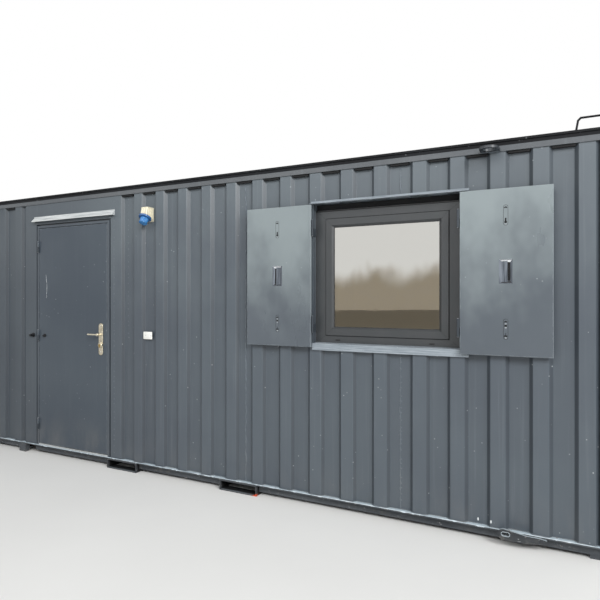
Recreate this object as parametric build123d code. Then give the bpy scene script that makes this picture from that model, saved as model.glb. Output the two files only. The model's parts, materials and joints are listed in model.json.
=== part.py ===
"""Portable site cabin: a steel walled site office with one door, one shuttered window and fork pockets.

X runs along the long side, the front faces -Y and Z is up. The origin is on the ground under the middle of
the floor. All sizes are in millimetres.
"""

from build123d import *
import os

os.makedirs("parts", exist_ok=True)

# Overall size, over the base rail's ledge and up to the roof's edge
CABIN_LENGTH = 6100
CABIN_WIDTH = 2440
ROOF_EDGE_HEIGHT = 2425

# Base: rails with a ledge that the wall sheets stand on
GROUND_GAP = 25
RAIL_WEB_HEIGHT = 54
LEDGE_THICKNESS = 8
LEDGE_BEFORE_CREST = 15
RAIL_WEB_RECESS = 40
RAIL_STEEL = 6
RAIL_BOTTOM_FLANGE = 50
END_RAIL_WIDTH = 60
JOIST_WIDTH = 50
JOIST_SPACING = 600
DECK_THICKNESS = 22

# Fork pockets
POCKET_SPACING = 1187
POCKET_WIDTH = 316
POCKET_STEEL = 8
POCKET_STRAP_DEPTH = 90

# Wall sheets
SHEETS_PER_SIDE = 5
SHEETS_PER_END = 2
CRESTS_PER_SHEET = 5
SEAM_EXTRA = 24
CREST_FACE = 84
WEB_RUN = 23
SHEET_DEPTH = 24
WALL_THICKNESS = 95
LINING_THICKNESS = 9
POST_FACE = 30
POST_SHEET_LAP = 30
DOOR_SHEET_BEFORE_HINGES = 196
DOOR_SHEET_AFTER_FRAME = 136
RIGHT_SHEETS_SHIFT = 18

# Roof
TOP_RAIL_HEIGHT = 34
EDGE_BAND_HEIGHT = 36
EDGE_BAND_WIDTH = 40
EDGE_LIP_HEIGHT = 14
EDGE_LIP_PROUD = 7
TOP_RAIL_SETBACK = 8
ROOF_RISE = 30
ROOF_SHEET_EDGE = 30
ROOF_SEAM_WIDTH = 40
ROOF_SEAM_HEIGHT = 12
CEILING_THICKNESS = 12

# Door
DOOR_FROM_CORNER = 1396
DOOR_LEAF_WIDTH = 881
DOOR_LEAF_THICKNESS = 45
DOOR_LEAF_BOTTOM = 106
DOOR_LEAF_EDGE = 2
DOOR_HEAD_DROP = 230
DOOR_PROUD = 2
DOOR_GAP = 5
FRAME_FACE = 20
FRAME_STOP = 20
FRAME_GROOVE = 15
FRAME_GROOVE_DEPTH = 18
THRESHOLD_EDGE = 14
CANOPY_BEFORE_HINGES = 70
CANOPY_AFTER_LEAF = 89
CANOPY_DEPTH = 35
CANOPY_RISE = 39
CANOPY_SHEET = 3
CANOPY_FLANGE = 10
CANOPY_LIP = 5
CANOPY_ABOVE_LEAF = 64

# Door hinges: lift off hinges, the lower barrel and pin on the frame, the upper barrel on the leaf
HINGE_ABOVE_LEAF_BOTTOM = 183
HINGE_BELOW_LEAF_TOP = 172
HINGE_LENGTH = 104
HINGE_BARREL_RADIUS = 8
HINGE_PIN_RADIUS = 4
HINGE_PIN_PROUD = 10
HINGE_BORE_CLEARANCE = 0.3
HINGE_SPLIT = 1
HINGE_TAB_WIDTH = 24
HINGE_TAB_THICKNESS = 4

# Door buffers, which meet when the door stands open
BUFFER_FROM_HINGE = 82
BUFFER_HEIGHT = 1120
WALL_BUFFER_LENGTH = 40
WALL_BUFFER_RADIUS = 17
LEAF_BUFFER_LENGTH = 24
LEAF_BUFFER_RADIUS = 13
BUFFER_TAPER = 0.65
BUFFER_FOOT_PROUD = 4
BUFFER_FOOT_THICKNESS = 3

# Lever handle on long plates
HANDLE_BACKSET = 71
LEVER_HEIGHT = 1152
PLATE_WIDTH = 48
PLATE_HEIGHT = 280
PLATE_THICKNESS = 9
PLATE_EDGE = 3
PLATE_ABOVE_LEVER = 98
LEVER_LENGTH = 122
LEVER_HUB_SIZE = 25
LEVER_HUB_DEPTH = 19
LEVER_HUB_EDGE = 5
LEVER_NECK_RADIUS = 8
LEVER_WAIST_RADIUS = 5.5
LEVER_TIP_RADIUS = 8
LEVER_STANDOFF = 46
SPINDLE_RADIUS = 6
ROSE_RADIUS = 12
TURN_CLEARANCE = 0.4
GUARD_RADIUS = 24
GUARD_RISE = 12
GUARD_EDGE = 5
CYLINDER_BELOW_LEVER = 92
CYLINDER_RADIUS = 8.5
CYLINDER_KEY_WIDTH = 10
CYLINDER_DROP = 16
CYLINDER_PROUD = 5

# Window
WINDOW_FROM_CORNER = 1319
WINDOW_WIDTH = 1012
WINDOW_BOTTOM = 1153
WINDOW_HEAD_DROP = 268
WINDOW_RECESS = 45
WINDOW_DEPTH = 60
WINDOW_SIDE_FACE = 80
WINDOW_HEAD_FACE = 60
WINDOW_BEVEL = 6
SASH_FACE = 56
SASH_BEVEL = 12
SASH_PROUD = 8
SASH_DEPTH = 54
GLASS_THICKNESS = 24
GLASS_SET_IN = 10
SILL_PROJECTION = 14
SILL_DROP = 44
SILL_SHEET = 3
SILL_FALL = 4
SILL_LEFT_LAP = 6
SILL_RIGHT_LAP = 52
HEAD_SLOT_DEPTH = 60
HEAD_STRIP_ABOVE = 46
HEAD_STRIP_HEIGHT = 20
HEAD_STRIP_PROJECTION = 36
HEAD_STRIP_SHEET = 3
HEAD_STRIP_LEFT_LAP = 20
HEAD_STRIP_RIGHT_LAP = 54

# Shutters, folded flat against the wall on each side of the window
SHUTTER_WIDTH = 525
SHUTTER_THICKNESS = 20
SHUTTER_BELOW_WINDOW = 23
SHUTTER_ABOVE_WINDOW = 40
SHUTTER_OFF_WALL = 20
SHUTTER_EDGE = 2
SHUTTER_OVERLAP_GAP = 5
SHUTTER_PIN_INSIDE = 6
SHUTTER_EDGE_FROM_PIN = 10
SHUTTER_HINGE_FROM_END = 162.5
SHUTTER_HINGE_LENGTH = 112
SHUTTER_BARREL_RADIUS = 7
SHUTTER_PIN_RADIUS = 3.5
SHUTTER_STRAP_LENGTH = 60
SHUTTER_STRAP_THICKNESS = 4
SHUTTER_LEAF_REACH = 36
FITTINGS_FROM_FREE_EDGE = 258

# Flush pulls in the shutters: a sloping facet, a grip plate and a deep finger pocket towards the free edge
PULL_WIDTH = 76
PULL_HEIGHT = 144
PULL_DEPTH = 14
PULL_SHEET = 1.5
PULL_RIM = 4
PULL_FACET = 12
PULL_GRIP = 32
PULL_GRIP_DEPTH = 6
PULL_SLOPE = 8
PULL_ABOVE_MIDDLE = 4

# Bolt slots above and below each flush pull
BOLT_SLOT_FROM_END = 160.5
BOLT_SLOT_LENGTH = 122
BOLT_SLOT_WIDTH = 27
BOLT_GROOVE = 2
BOLT_GROOVE_DEPTH = 1.5
BOLT_HOLE_RADIUS = 6
BOLT_HOLE_DEPTH = 6
BOLT_HOLE_FROM_END = 18
BOLT_SLIT_WIDTH = 5
BOLT_SLIT_LENGTH = 20

# Power inlet beside the door: a moulded housing with a blue flanged socket that points down and outward
INLET_AFTER_DOOR_SHEET = 312
INLET_WIDTH = 68
INLET_BELOW_WALL_TOP = 132
INLET_FRONT_HEIGHT = 68
INLET_REAR_HEIGHT = 116
INLET_TOP_DEPTH = 74
INLET_BOTTOM_DEPTH = 88
INLET_RIBS = 3
INLET_RIB_WIDTH = 5
INLET_RIB_DEPTH = 2
INLET_ROUNDING = 5
SOCKET_FLANGE_RADIUS = 53
SOCKET_FLANGE_THICKNESS = 16
SOCKET_FLANGE_OUT = 22
SOCKET_RADIUS = 33
SOCKET_TIP_RADIUS = 29
SOCKET_LENGTH = 40
SOCKET_LID_RADIUS = 34
SOCKET_LID_THICKNESS = 7

# Step bracket under the ledge left of the door, with a gap in the rail's web beside it
STEP_BRACKET_BEFORE_DOOR = 223
STEP_BRACKET_WIDTH = 88
STEP_GAP_WIDTH = 92

# Lifting and lashing points
TOP_LUG_FROM_CORNER = 633
TOP_LUG_WIDTH = 112
TOP_LUG_DEPTH = 112
TOP_LUG_THICKNESS = 15
TOP_LUG_ABOVE_WALL = 3
TOP_LUG_HOLE_RADIUS = 34
TOP_LUG_HOLE_OUT = 55
TOP_LUG_CORNER = 54
BASE_LUG_FROM_CORNER = 553
BASE_LUG_LENGTH = 269
BASE_LUG_BIG_RADIUS = 32
BASE_LUG_SMALL_RADIUS = 15
BASE_LUG_ABOVE_RAIL = 22
BASE_LUG_THICKNESS = 14
BASE_LUG_SLOT_LENGTH = 46
BASE_LUG_SLOT_RADIUS = 11
BASE_LUG_SLOT_RISE = 3
BASE_LUG_STANDOFF = 26
BASE_LUG_WELD = 44
BASE_LUG_SLANT = 70
HOOP_FROM_CORNER = 95
HOOP_LENGTH = 150
HOOP_HEIGHT = 76
HOOP_BAR_RADIUS = 6
HOOP_BEND = 14
HOOP_SPLAY = 12

# Worked out from the sizes above
HALF_LENGTH = CABIN_LENGTH / 2
HALF_WIDTH = CABIN_WIDTH / 2
RAIL_TOP = GROUND_GAP + RAIL_WEB_HEIGHT
LEDGE_TOP = RAIL_TOP + LEDGE_THICKNESS
FLOOR_TOP = LEDGE_TOP + DECK_THICKNESS
CREST_X = HALF_LENGTH - LEDGE_BEFORE_CREST
CREST_Y = HALF_WIDTH - LEDGE_BEFORE_CREST
INNER_X = CREST_X - WALL_THICKNESS
INNER_Y = CREST_Y - WALL_THICKNESS
CORE_Y = INNER_Y + LINING_THICKNESS
CORE_X = INNER_X + LINING_THICKNESS
WEB_Y = HALF_WIDTH - RAIL_WEB_RECESS
WALL_TOP = ROOF_EDGE_HEIGHT - EDGE_BAND_HEIGHT - TOP_RAIL_HEIGHT
RAIL_CAP = WALL_TOP + TOP_RAIL_HEIGHT
SHEET_MODULE = CABIN_LENGTH / SHEETS_PER_SIDE

DOOR_HINGE_EDGE_X = -HALF_LENGTH + DOOR_FROM_CORNER
DOOR_FREE_EDGE_X = DOOR_HINGE_EDGE_X + DOOR_LEAF_WIDTH
DOOR_LEAF_TOP = WALL_TOP - DOOR_HEAD_DROP
DOOR_FRONT_Y = -CREST_Y - DOOR_PROUD
DOOR_BACK_Y = DOOR_FRONT_Y + DOOR_LEAF_THICKNESS
DOORWAY_LEFT = DOOR_HINGE_EDGE_X - DOOR_GAP - FRAME_FACE
DOORWAY_RIGHT = DOOR_FREE_EDGE_X + DOOR_GAP + FRAME_FACE
DOORWAY_TOP = DOOR_LEAF_TOP + DOOR_GAP + FRAME_FACE
DOOR_SHEET_LEFT = DOOR_HINGE_EDGE_X - DOOR_SHEET_BEFORE_HINGES
DOOR_SHEET_RIGHT = DOORWAY_RIGHT + DOOR_SHEET_AFTER_FRAME
HINGE_X = DOOR_HINGE_EDGE_X - DOOR_GAP / 2
HINGE_Y = DOOR_FRONT_Y - HINGE_PIN_PROUD
LOW_HINGE_Z = DOOR_LEAF_BOTTOM + HINGE_ABOVE_LEAF_BOTTOM
HIGH_HINGE_Z = DOOR_LEAF_TOP - HINGE_BELOW_LEAF_TOP
LEVER_X = DOOR_FREE_EDGE_X - HANDLE_BACKSET

WINDOW_CENTRE_X = HALF_LENGTH - WINDOW_FROM_CORNER
WINDOW_LEFT = WINDOW_CENTRE_X - WINDOW_WIDTH / 2
WINDOW_RIGHT = WINDOW_CENTRE_X + WINDOW_WIDTH / 2
WINDOW_TOP = WALL_TOP - WINDOW_HEAD_DROP
WINDOW_FRONT_Y = -CREST_Y + WINDOW_RECESS

SHUTTER_BOTTOM = WINDOW_BOTTOM - SHUTTER_BELOW_WINDOW
SHUTTER_TOP = WINDOW_TOP + SHUTTER_ABOVE_WINDOW
SHUTTER_MIDDLE_Z = (SHUTTER_BOTTOM + SHUTTER_TOP) / 2
SHUTTER_BACK_Y = -CREST_Y - SHUTTER_OFF_WALL
SHUTTER_FRONT_Y = SHUTTER_BACK_Y - SHUTTER_THICKNESS
LEFT_PIN_X = WINDOW_LEFT + SHUTTER_PIN_INSIDE
RIGHT_PIN_X = WINDOW_RIGHT - SHUTTER_PIN_INSIDE
LEFT_PIN_Y = SHUTTER_BACK_Y - SHUTTER_THICKNESS / 2
RIGHT_PIN_Y = SHUTTER_FRONT_Y - SHUTTER_OVERLAP_GAP / 2

INLET_X = DOOR_SHEET_RIGHT + INLET_AFTER_DOOR_SHEET
INLET_TOP = WALL_TOP - INLET_BELOW_WALL_TOP
STEP_BRACKET_X = DOOR_HINGE_EDGE_X - STEP_BRACKET_BEFORE_DOOR

TOP_LUG_X = HALF_LENGTH - TOP_LUG_FROM_CORNER
TOP_LUG_HEIGHT = WALL_TOP + TOP_LUG_ABOVE_WALL
BASE_LUG_X = HALF_LENGTH - BASE_LUG_FROM_CORNER
BASE_LUG_HEIGHT = GROUND_GAP + BASE_LUG_ABOVE_RAIL + BASE_LUG_BIG_RADIUS
HOOP_X = HALF_LENGTH - HOOP_FROM_CORNER


def block(x_low, x_high, y_low, y_high, z_low, z_high):
    """A box between two corners."""
    centre = Pos((x_low + x_high) / 2, (y_low + y_high) / 2, (z_low + z_high) / 2)
    return centre * Box(x_high - x_low, y_high - y_low, z_high - z_low)


def prism(points, length, plane):
    """A closed outline pushed out along the plane's normal."""
    outline = make_face(Polyline(*points, close=True))
    return extrude(plane * outline, length)


def upright(x, y, z_low, z_high, radius):
    """A vertical round bar."""
    bar = Cylinder(radius, z_high - z_low, align=(Align.CENTER, Align.CENTER, Align.MIN))
    return Pos(x, y, z_low) * bar


def across(x, z, y_from, y_to, radius):
    """A round bar that runs from front to rear."""
    bar = Cylinder(radius, abs(y_to - y_from))
    return Pos(x, (y_from + y_to) / 2, z) * Rot(90, 0, 0) * bar


def save(name, *shapes):
    """Write one named piece of the cabin, made of one or more solids."""
    solids = [solid for shape in shapes for solid in shape.solids()]
    export_step(Compound(children=solids) if len(solids) > 1 else solids[0], f"parts/{name}.step")


def crest_pitch(module):
    """Distance between the crests of one sheet."""
    return (module - SEAM_EXTRA) / CRESTS_PER_SHEET


def crest_spans(sheets, module):
    """The proud stretches of a corrugated wall, as start and end of each crest's flat face."""
    spans = []
    start = -sheets * module / 2
    pitch = crest_pitch(module)
    for sheet in range(sheets):
        middle = start + (sheet + 0.5) * module
        for crest in range(CRESTS_PER_SHEET):
            centre = middle + (crest - (CRESTS_PER_SHEET - 1) / 2) * pitch
            spans.append((centre - CREST_FACE / 2, centre + CREST_FACE / 2))
    return spans


def sheet_outline(spans, end, inner):
    """Plan outline of a wall: its crests stand out to 0, and its flat inner side is at depth inner."""
    points = [(-end, inner), (-end, SHEET_DEPTH)]
    for low, high in spans:
        points.append((low - WEB_RUN, SHEET_DEPTH))
        points.append((low, 0))
        points.append((high, 0))
        points.append((high + WEB_RUN, SHEET_DEPTH))
    points.append((end, SHEET_DEPTH))
    points.append((end, inner))
    return points


def even_crests(low, high):
    """Crests at even gaps between two places, about as close as in a whole sheet."""
    count = round((high - low) / crest_pitch(SHEET_MODULE)) - 1
    gap = (high - low - count * CREST_FACE) / (count + 1)
    starts = [low + gap + number * (gap + CREST_FACE) for number in range(count)]
    return [(start, start + CREST_FACE) for start in starts]


def side_spans(with_door):
    """Crests of a long side; on the door's side one wide flat sheet takes the place of some of them."""
    spans = crest_spans(SHEETS_PER_SIDE, SHEET_MODULE)
    if not with_door:
        return spans
    left = [span for span in spans if span[1] + 2 * WEB_RUN < DOOR_SHEET_LEFT]
    shift = RIGHT_SHEETS_SHIFT
    right = [(low + shift, high + shift) for low, high in spans if low > SHEET_MODULE / 2]
    door_sheet = (DOOR_SHEET_LEFT, DOOR_SHEET_RIGHT)
    return left + [door_sheet] + even_crests(DOOR_SHEET_RIGHT, right[0][0]) + right


def side_slab(with_door):
    """The whole long wall on the front, from the ledge to the top rail, lapped over the corner posts."""
    end = CREST_X - POST_FACE
    spans = [span for span in side_spans(with_door) if max(-span[0], span[1]) + WEB_RUN < end]
    points = sheet_outline(spans, end, WALL_THICKNESS - LINING_THICKNESS)
    plan = [(x, -CREST_Y + y) for x, y in points]
    slab = prism(plan, WALL_TOP - LEDGE_TOP, Plane.XY.offset(LEDGE_TOP))
    for low, high in ((-end, -INNER_X), (INNER_X, end)):
        slab -= block(low, high, -CREST_Y + POST_SHEET_LAP, 0, LEDGE_TOP, WALL_TOP)
    return slab


def end_slab():
    """The end wall on the right."""
    end = CREST_Y - POST_FACE
    module = CABIN_WIDTH / SHEETS_PER_END
    spans = [span for span in crest_spans(SHEETS_PER_END, module) if max(-span[0], span[1]) + WEB_RUN < end]
    points = sheet_outline(spans, end, WALL_THICKNESS - LINING_THICKNESS)
    plan = [(CREST_X - y, x) for x, y in points]
    slab = prism(plan, WALL_TOP - LEDGE_TOP, Plane.XY.offset(LEDGE_TOP))
    for low, high in ((-end, -INNER_Y), (INNER_Y, end)):
        slab -= block(0, CREST_X - POST_SHEET_LAP, low, high, LEDGE_TOP, WALL_TOP)
    return slab


def corner_post():
    """The folded post of the right front corner, behind the laps of both sheets."""
    post = block(INNER_X, CREST_X, -CREST_Y, -INNER_Y, LEDGE_TOP, WALL_TOP)
    post -= block(INNER_X, CREST_X - POST_FACE, -CREST_Y, -CREST_Y + POST_SHEET_LAP, LEDGE_TOP, WALL_TOP)
    post -= block(CREST_X - POST_SHEET_LAP, CREST_X, -CREST_Y + POST_FACE, -INNER_Y, LEDGE_TOP, WALL_TOP)
    return post


def both_sides(shape):
    """A piece of the front and its mirror image on the rear."""
    return [shape, mirror(shape, Plane.XZ)]


def both_ends(shape):
    """A piece of the right end and its mirror image on the left."""
    return [shape, mirror(shape, Plane.YZ)]


def four_corners(shape):
    """A piece of the right front corner and its mirror images on the other three."""
    return [copy for end in both_ends(shape) for copy in both_sides(end)]


def pocket_centres():
    """Middle of each fork pocket along the cabin."""
    return (-POCKET_SPACING / 2, POCKET_SPACING / 2)


def make_base():
    """Rails, fork pockets, joists, deck and the step bracket."""
    end_web = block(
        HALF_LENGTH - RAIL_WEB_RECESS - END_RAIL_WIDTH,
        HALF_LENGTH - RAIL_WEB_RECESS,
        -WEB_Y + RAIL_STEEL,
        WEB_Y - RAIL_STEEL,
        0,
        RAIL_TOP,
    )
    end_ledge = block(INNER_X, HALF_LENGTH, -INNER_Y, INNER_Y, RAIL_TOP, LEDGE_TOP)
    save("end_base_rails", *both_ends(end_web + end_ledge))

    web_end = HALF_LENGTH - RAIL_WEB_RECESS
    rail = block(-HALF_LENGTH, HALF_LENGTH, -HALF_WIDTH, -INNER_Y, RAIL_TOP, LEDGE_TOP)
    rail += block(-web_end, web_end, -WEB_Y, -WEB_Y + RAIL_STEEL, GROUND_GAP, RAIL_TOP)
    flange_end = web_end - END_RAIL_WIDTH
    rail += block(
        -flange_end, flange_end, -WEB_Y, -WEB_Y + RAIL_BOTTOM_FLANGE, GROUND_GAP, GROUND_GAP + RAIL_STEEL
    )
    for centre in pocket_centres():
        half = POCKET_WIDTH / 2 + POCKET_STEEL
        rail -= block(centre - half, centre + half, -HALF_WIDTH, 0, 0, RAIL_TOP)
    gap_left = STEP_BRACKET_X + STEP_BRACKET_WIDTH / 2
    gap = block(gap_left, gap_left + STEP_GAP_WIDTH, -WEB_Y, -INNER_Y, GROUND_GAP, RAIL_TOP)
    save("side_base_rails", rail - gap, mirror(rail, Plane.XZ))

    pockets = []
    for centre in pocket_centres():
        half = POCKET_WIDTH / 2
        tunnel = block(
            centre - half - POCKET_STEEL, centre + half + POCKET_STEEL, -HALF_WIDTH, HALF_WIDTH, 0, RAIL_TOP
        )
        tunnel -= block(centre - half, centre + half, -HALF_WIDTH, HALF_WIDTH, 0, RAIL_TOP - POCKET_STEEL)
        for y_low in (-HALF_WIDTH, HALF_WIDTH - POCKET_STRAP_DEPTH):
            tunnel += block(centre - half, centre + half, y_low, y_low + POCKET_STRAP_DEPTH, 0, RAIL_STEEL)
        pockets.append(tunnel)
    save("fork_pockets", *pockets)

    joists = []
    reach = int((INNER_X - JOIST_SPACING / 2) // JOIST_SPACING)
    for number in range(-reach, reach + 1):
        x = number * JOIST_SPACING
        clear = min(abs(x - centre) for centre in pocket_centres())
        if clear < POCKET_WIDTH / 2 + POCKET_STEEL + JOIST_WIDTH / 2:
            continue
        bottom = 0 if number == 0 else GROUND_GAP
        half = JOIST_WIDTH / 2
        joists.append(block(x - half, x + half, -INNER_Y, INNER_Y, bottom, LEDGE_TOP))
    save("floor_joists", *joists)

    save("floor_deck", block(-INNER_X, INNER_X, -INNER_Y, INNER_Y, LEDGE_TOP, FLOOR_TOP))

    half = STEP_BRACKET_WIDTH / 2
    bracket = block(STEP_BRACKET_X - half, STEP_BRACKET_X + half, -HALF_WIDTH, -WEB_Y, 0, RAIL_TOP)
    bracket -= block(
        STEP_BRACKET_X - half + RAIL_STEEL,
        STEP_BRACKET_X + half - RAIL_STEEL,
        -HALF_WIDTH + RAIL_STEEL,
        -WEB_Y,
        0,
        RAIL_TOP,
    )
    save("step_bracket", bracket)


def make_walls():
    """Corrugated walls, split beside and over the doorway and round the window, posts and linings."""
    front = side_slab(True)
    inner = -CORE_Y

    def cut(x_low, x_high, z_low=LEDGE_TOP, z_high=WALL_TOP):
        return front & block(x_low, x_high, -HALF_WIDTH, inner, z_low, z_high)

    sheet_left = DOOR_SHEET_LEFT - WEB_RUN
    sheet_right = DOOR_SHEET_RIGHT + WEB_RUN
    save(
        "front_walls",
        cut(-HALF_LENGTH, sheet_left),
        cut(sheet_right, WINDOW_LEFT),
        cut(WINDOW_RIGHT, HALF_LENGTH),
    )
    groove = block(
        DOORWAY_LEFT - FRAME_GROOVE,
        DOORWAY_RIGHT + FRAME_GROOVE,
        -CREST_Y,
        -CREST_Y + FRAME_GROOVE_DEPTH,
        LEDGE_TOP,
        DOORWAY_TOP + FRAME_GROOVE,
    )
    left_panel = cut(sheet_left, DOORWAY_LEFT) - groove
    right_panel = cut(DOORWAY_RIGHT, sheet_right) - groove
    save("door_side_panels", left_panel, right_panel)
    save("door_head_panel", cut(DOORWAY_LEFT, DOORWAY_RIGHT, DOORWAY_TOP) - groove)
    slot_top = WINDOW_TOP + HEAD_STRIP_ABOVE
    head_slot = block(WINDOW_LEFT, WINDOW_RIGHT, -CREST_Y, -CREST_Y + HEAD_SLOT_DEPTH, WINDOW_TOP, slot_top)
    below = cut(WINDOW_LEFT, WINDOW_RIGHT, z_high=WINDOW_BOTTOM)
    above = cut(WINDOW_LEFT, WINDOW_RIGHT, z_low=WINDOW_TOP) - head_slot
    save("window_wall_panels", below, above)
    save("rear_wall", mirror(side_slab(False), Plane.XZ))
    save("end_walls", *both_ends(end_slab()))
    save("corner_posts", *four_corners(corner_post()))

    board = block(-INNER_X, INNER_X, -CORE_Y, -INNER_Y, LEDGE_TOP, WALL_TOP)
    doorway = block(DOORWAY_LEFT, DOORWAY_RIGHT, -CORE_Y, -INNER_Y, LEDGE_TOP, DOORWAY_TOP)
    window = block(WINDOW_LEFT, WINDOW_RIGHT, -CORE_Y, -INNER_Y, WINDOW_BOTTOM, WINDOW_TOP)
    save("side_linings", board - doorway - window, mirror(board, Plane.XZ))
    save("end_linings", *both_ends(block(INNER_X, CORE_X, -INNER_Y, INNER_Y, LEDGE_TOP, WALL_TOP)))


def make_roof():
    """Top rails, dark edge band, low pitched sheet with raised seams, and the ceiling."""
    rail_y = HALF_WIDTH - TOP_RAIL_SETBACK
    rail_x = HALF_LENGTH - TOP_RAIL_SETBACK
    rails = block(-rail_x, rail_x, -rail_y, rail_y, WALL_TOP, RAIL_CAP)
    save("top_rails", rails - block(-INNER_X, INNER_X, -INNER_Y, INNER_Y, WALL_TOP, RAIL_CAP))

    inside_x = HALF_LENGTH - EDGE_BAND_WIDTH
    inside_y = HALF_WIDTH - EDGE_BAND_WIDTH
    lip_low = ROOF_EDGE_HEIGHT - EDGE_LIP_HEIGHT
    face_x = HALF_LENGTH - EDGE_LIP_PROUD
    face_y = HALF_WIDTH - EDGE_LIP_PROUD
    band = block(-face_x, face_x, -face_y, face_y, RAIL_CAP, lip_low)
    band += block(-HALF_LENGTH, HALF_LENGTH, -HALF_WIDTH, HALF_WIDTH, lip_low, ROOF_EDGE_HEIGHT)
    band -= block(-inside_x, inside_x, -inside_y, inside_y, RAIL_CAP, ROOF_EDGE_HEIGHT)
    save("roof_edge_band", band)

    def pitched(top_edge, length):
        outline = [
            (-inside_y, RAIL_CAP),
            (inside_y, RAIL_CAP),
            (inside_y, top_edge),
            (0, top_edge + ROOF_RISE),
            (-inside_y, top_edge),
        ]
        return prism(outline, length, Plane.YZ)

    edge = RAIL_CAP + ROOF_SHEET_EDGE
    roof = Pos(-inside_x, 0, 0) * pitched(edge, 2 * inside_x)
    for seam in range(1, SHEETS_PER_SIDE):
        x = -HALF_LENGTH + seam * SHEET_MODULE - ROOF_SEAM_WIDTH / 2
        roof += Pos(x, 0, 0) * pitched(edge + ROOF_SEAM_HEIGHT, ROOF_SEAM_WIDTH)
    save("roof_sheet", roof)
    save("ceiling_board", block(-INNER_X, INNER_X, -INNER_Y, INNER_Y, WALL_TOP - CEILING_THICKNESS, WALL_TOP))


def make_door_frame():
    """Frame with its stop, threshold and the drip canopy over it."""
    front = DOOR_FRONT_Y
    back = -INNER_Y
    left = DOORWAY_LEFT + FRAME_FACE
    right = DOORWAY_RIGHT - FRAME_FACE
    frame = block(DOORWAY_LEFT, DOORWAY_RIGHT, front, back, LEDGE_TOP, DOORWAY_TOP)
    frame -= block(left, right, front, back, LEDGE_TOP, DOORWAY_TOP - FRAME_FACE)
    stop_front = DOOR_BACK_Y + DOOR_GAP
    stop = block(DOORWAY_LEFT, DOORWAY_RIGHT, stop_front, back, LEDGE_TOP, DOORWAY_TOP)
    reach = FRAME_FACE + FRAME_STOP
    stop -= block(DOORWAY_LEFT + reach, DOORWAY_RIGHT - reach, front, back, LEDGE_TOP, DOORWAY_TOP - reach)
    save("door_frame", frame + stop)

    threshold = block(left, right, front, stop_front, LEDGE_TOP, LEDGE_TOP + THRESHOLD_EDGE)
    threshold += block(left + FRAME_STOP, right - FRAME_STOP, stop_front, back, LEDGE_TOP, FLOOR_TOP)
    save("door_threshold", threshold)

    wall_y = -CREST_Y
    nose_y = wall_y - CANOPY_DEPTH
    low = DOOR_LEAF_TOP + CANOPY_ABOVE_LEAF
    high = low + CANOPY_RISE
    outline = [
        (wall_y, high - CANOPY_SHEET),
        (wall_y, high + CANOPY_FLANGE),
        (wall_y - CANOPY_SHEET, high + CANOPY_FLANGE),
        (wall_y - CANOPY_SHEET, high),
        (nose_y, low + CANOPY_LIP),
        (nose_y, low),
        (nose_y + CANOPY_SHEET, low),
        (nose_y + CANOPY_SHEET, low + CANOPY_LIP - CANOPY_SHEET),
    ]
    gusset = [
        (wall_y, low),
        (wall_y, high),
        (nose_y, low + CANOPY_LIP),
        (nose_y, low),
    ]
    start = DOOR_HINGE_EDGE_X - CANOPY_BEFORE_HINGES
    length = DOOR_LEAF_WIDTH + CANOPY_BEFORE_HINGES + CANOPY_AFTER_LEAF
    canopy = prism(outline, length, Plane.YZ)
    for offset in (0, length - CANOPY_SHEET):
        canopy += Pos(offset, 0, 0) * prism(gusset, CANOPY_SHEET, Plane.YZ)
    save("door_canopy", Pos(start, 0, 0) * canopy)


def hinge_half(height, moving):
    """One half of a lift off hinge: barrel and tab on the leaf, or barrel, tab and pin on the frame."""
    low = height - HINGE_LENGTH / 2
    high = height + HINGE_LENGTH / 2
    face = DOOR_FRONT_Y
    if moving:
        z_low, z_high = height + HINGE_SPLIT / 2, high
        tab = block(
            HINGE_X + DOOR_GAP / 2, HINGE_X + HINGE_TAB_WIDTH, face - HINGE_TAB_THICKNESS, face, z_low, z_high
        )
        barrel = upright(HINGE_X, HINGE_Y, z_low, z_high, HINGE_BARREL_RADIUS)
        bore = upright(HINGE_X, HINGE_Y, z_low, z_high, HINGE_PIN_RADIUS + HINGE_BORE_CLEARANCE)
        return barrel + tab - bore
    z_low, z_high = low, height - HINGE_SPLIT / 2
    tab = block(
        HINGE_X - HINGE_TAB_WIDTH, HINGE_X - DOOR_GAP / 2, face - HINGE_TAB_THICKNESS, face, z_low, z_high
    )
    barrel = upright(HINGE_X, HINGE_Y, z_low, z_high, HINGE_BARREL_RADIUS)
    pin = upright(HINGE_X, HINGE_Y, z_low, high - HINGE_SPLIT, HINGE_PIN_RADIUS)
    return barrel + tab + pin


def buffer(x, y, length, radius):
    """A tapered rubber stop on a round foot, standing out to the front."""
    foot_radius = radius + BUFFER_FOOT_PROUD
    tip = radius * BUFFER_TAPER
    outline = Polyline(
        (0, 0),
        (foot_radius, 0),
        (foot_radius, BUFFER_FOOT_THICKNESS),
        (radius, BUFFER_FOOT_THICKNESS),
        (tip, length),
        (0, length),
        close=True,
    )
    return Pos(x, y, BUFFER_HEIGHT) * Rot(0, 0, 180) * revolve(make_face(outline), Axis.Y)


def lever_arm(arm_y):
    """One lever: a hub and a waisted bar that runs to the left from it, with a swelling near its tip."""
    half = LEVER_HUB_SIZE / 2
    outline = Polyline(
        (half, 0),
        (half, LEVER_NECK_RADIUS),
        (0.5 * LEVER_LENGTH, LEVER_WAIST_RADIUS),
        (LEVER_LENGTH - LEVER_TIP_RADIUS, LEVER_TIP_RADIUS),
        (LEVER_LENGTH, LEVER_TIP_RADIUS / 2),
        (LEVER_LENGTH, 0),
        close=True,
    )
    hub = Box(LEVER_HUB_SIZE, LEVER_HUB_DEPTH, LEVER_HUB_SIZE)
    hub = chamfer(hub.faces().sort_by(Axis.X)[0].edges(), LEVER_HUB_EDGE)
    arm = hub + revolve(make_face(outline), Axis.X)
    return Pos(LEVER_X, arm_y, LEVER_HEIGHT) * Rot(0, 180, 0) * arm


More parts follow.
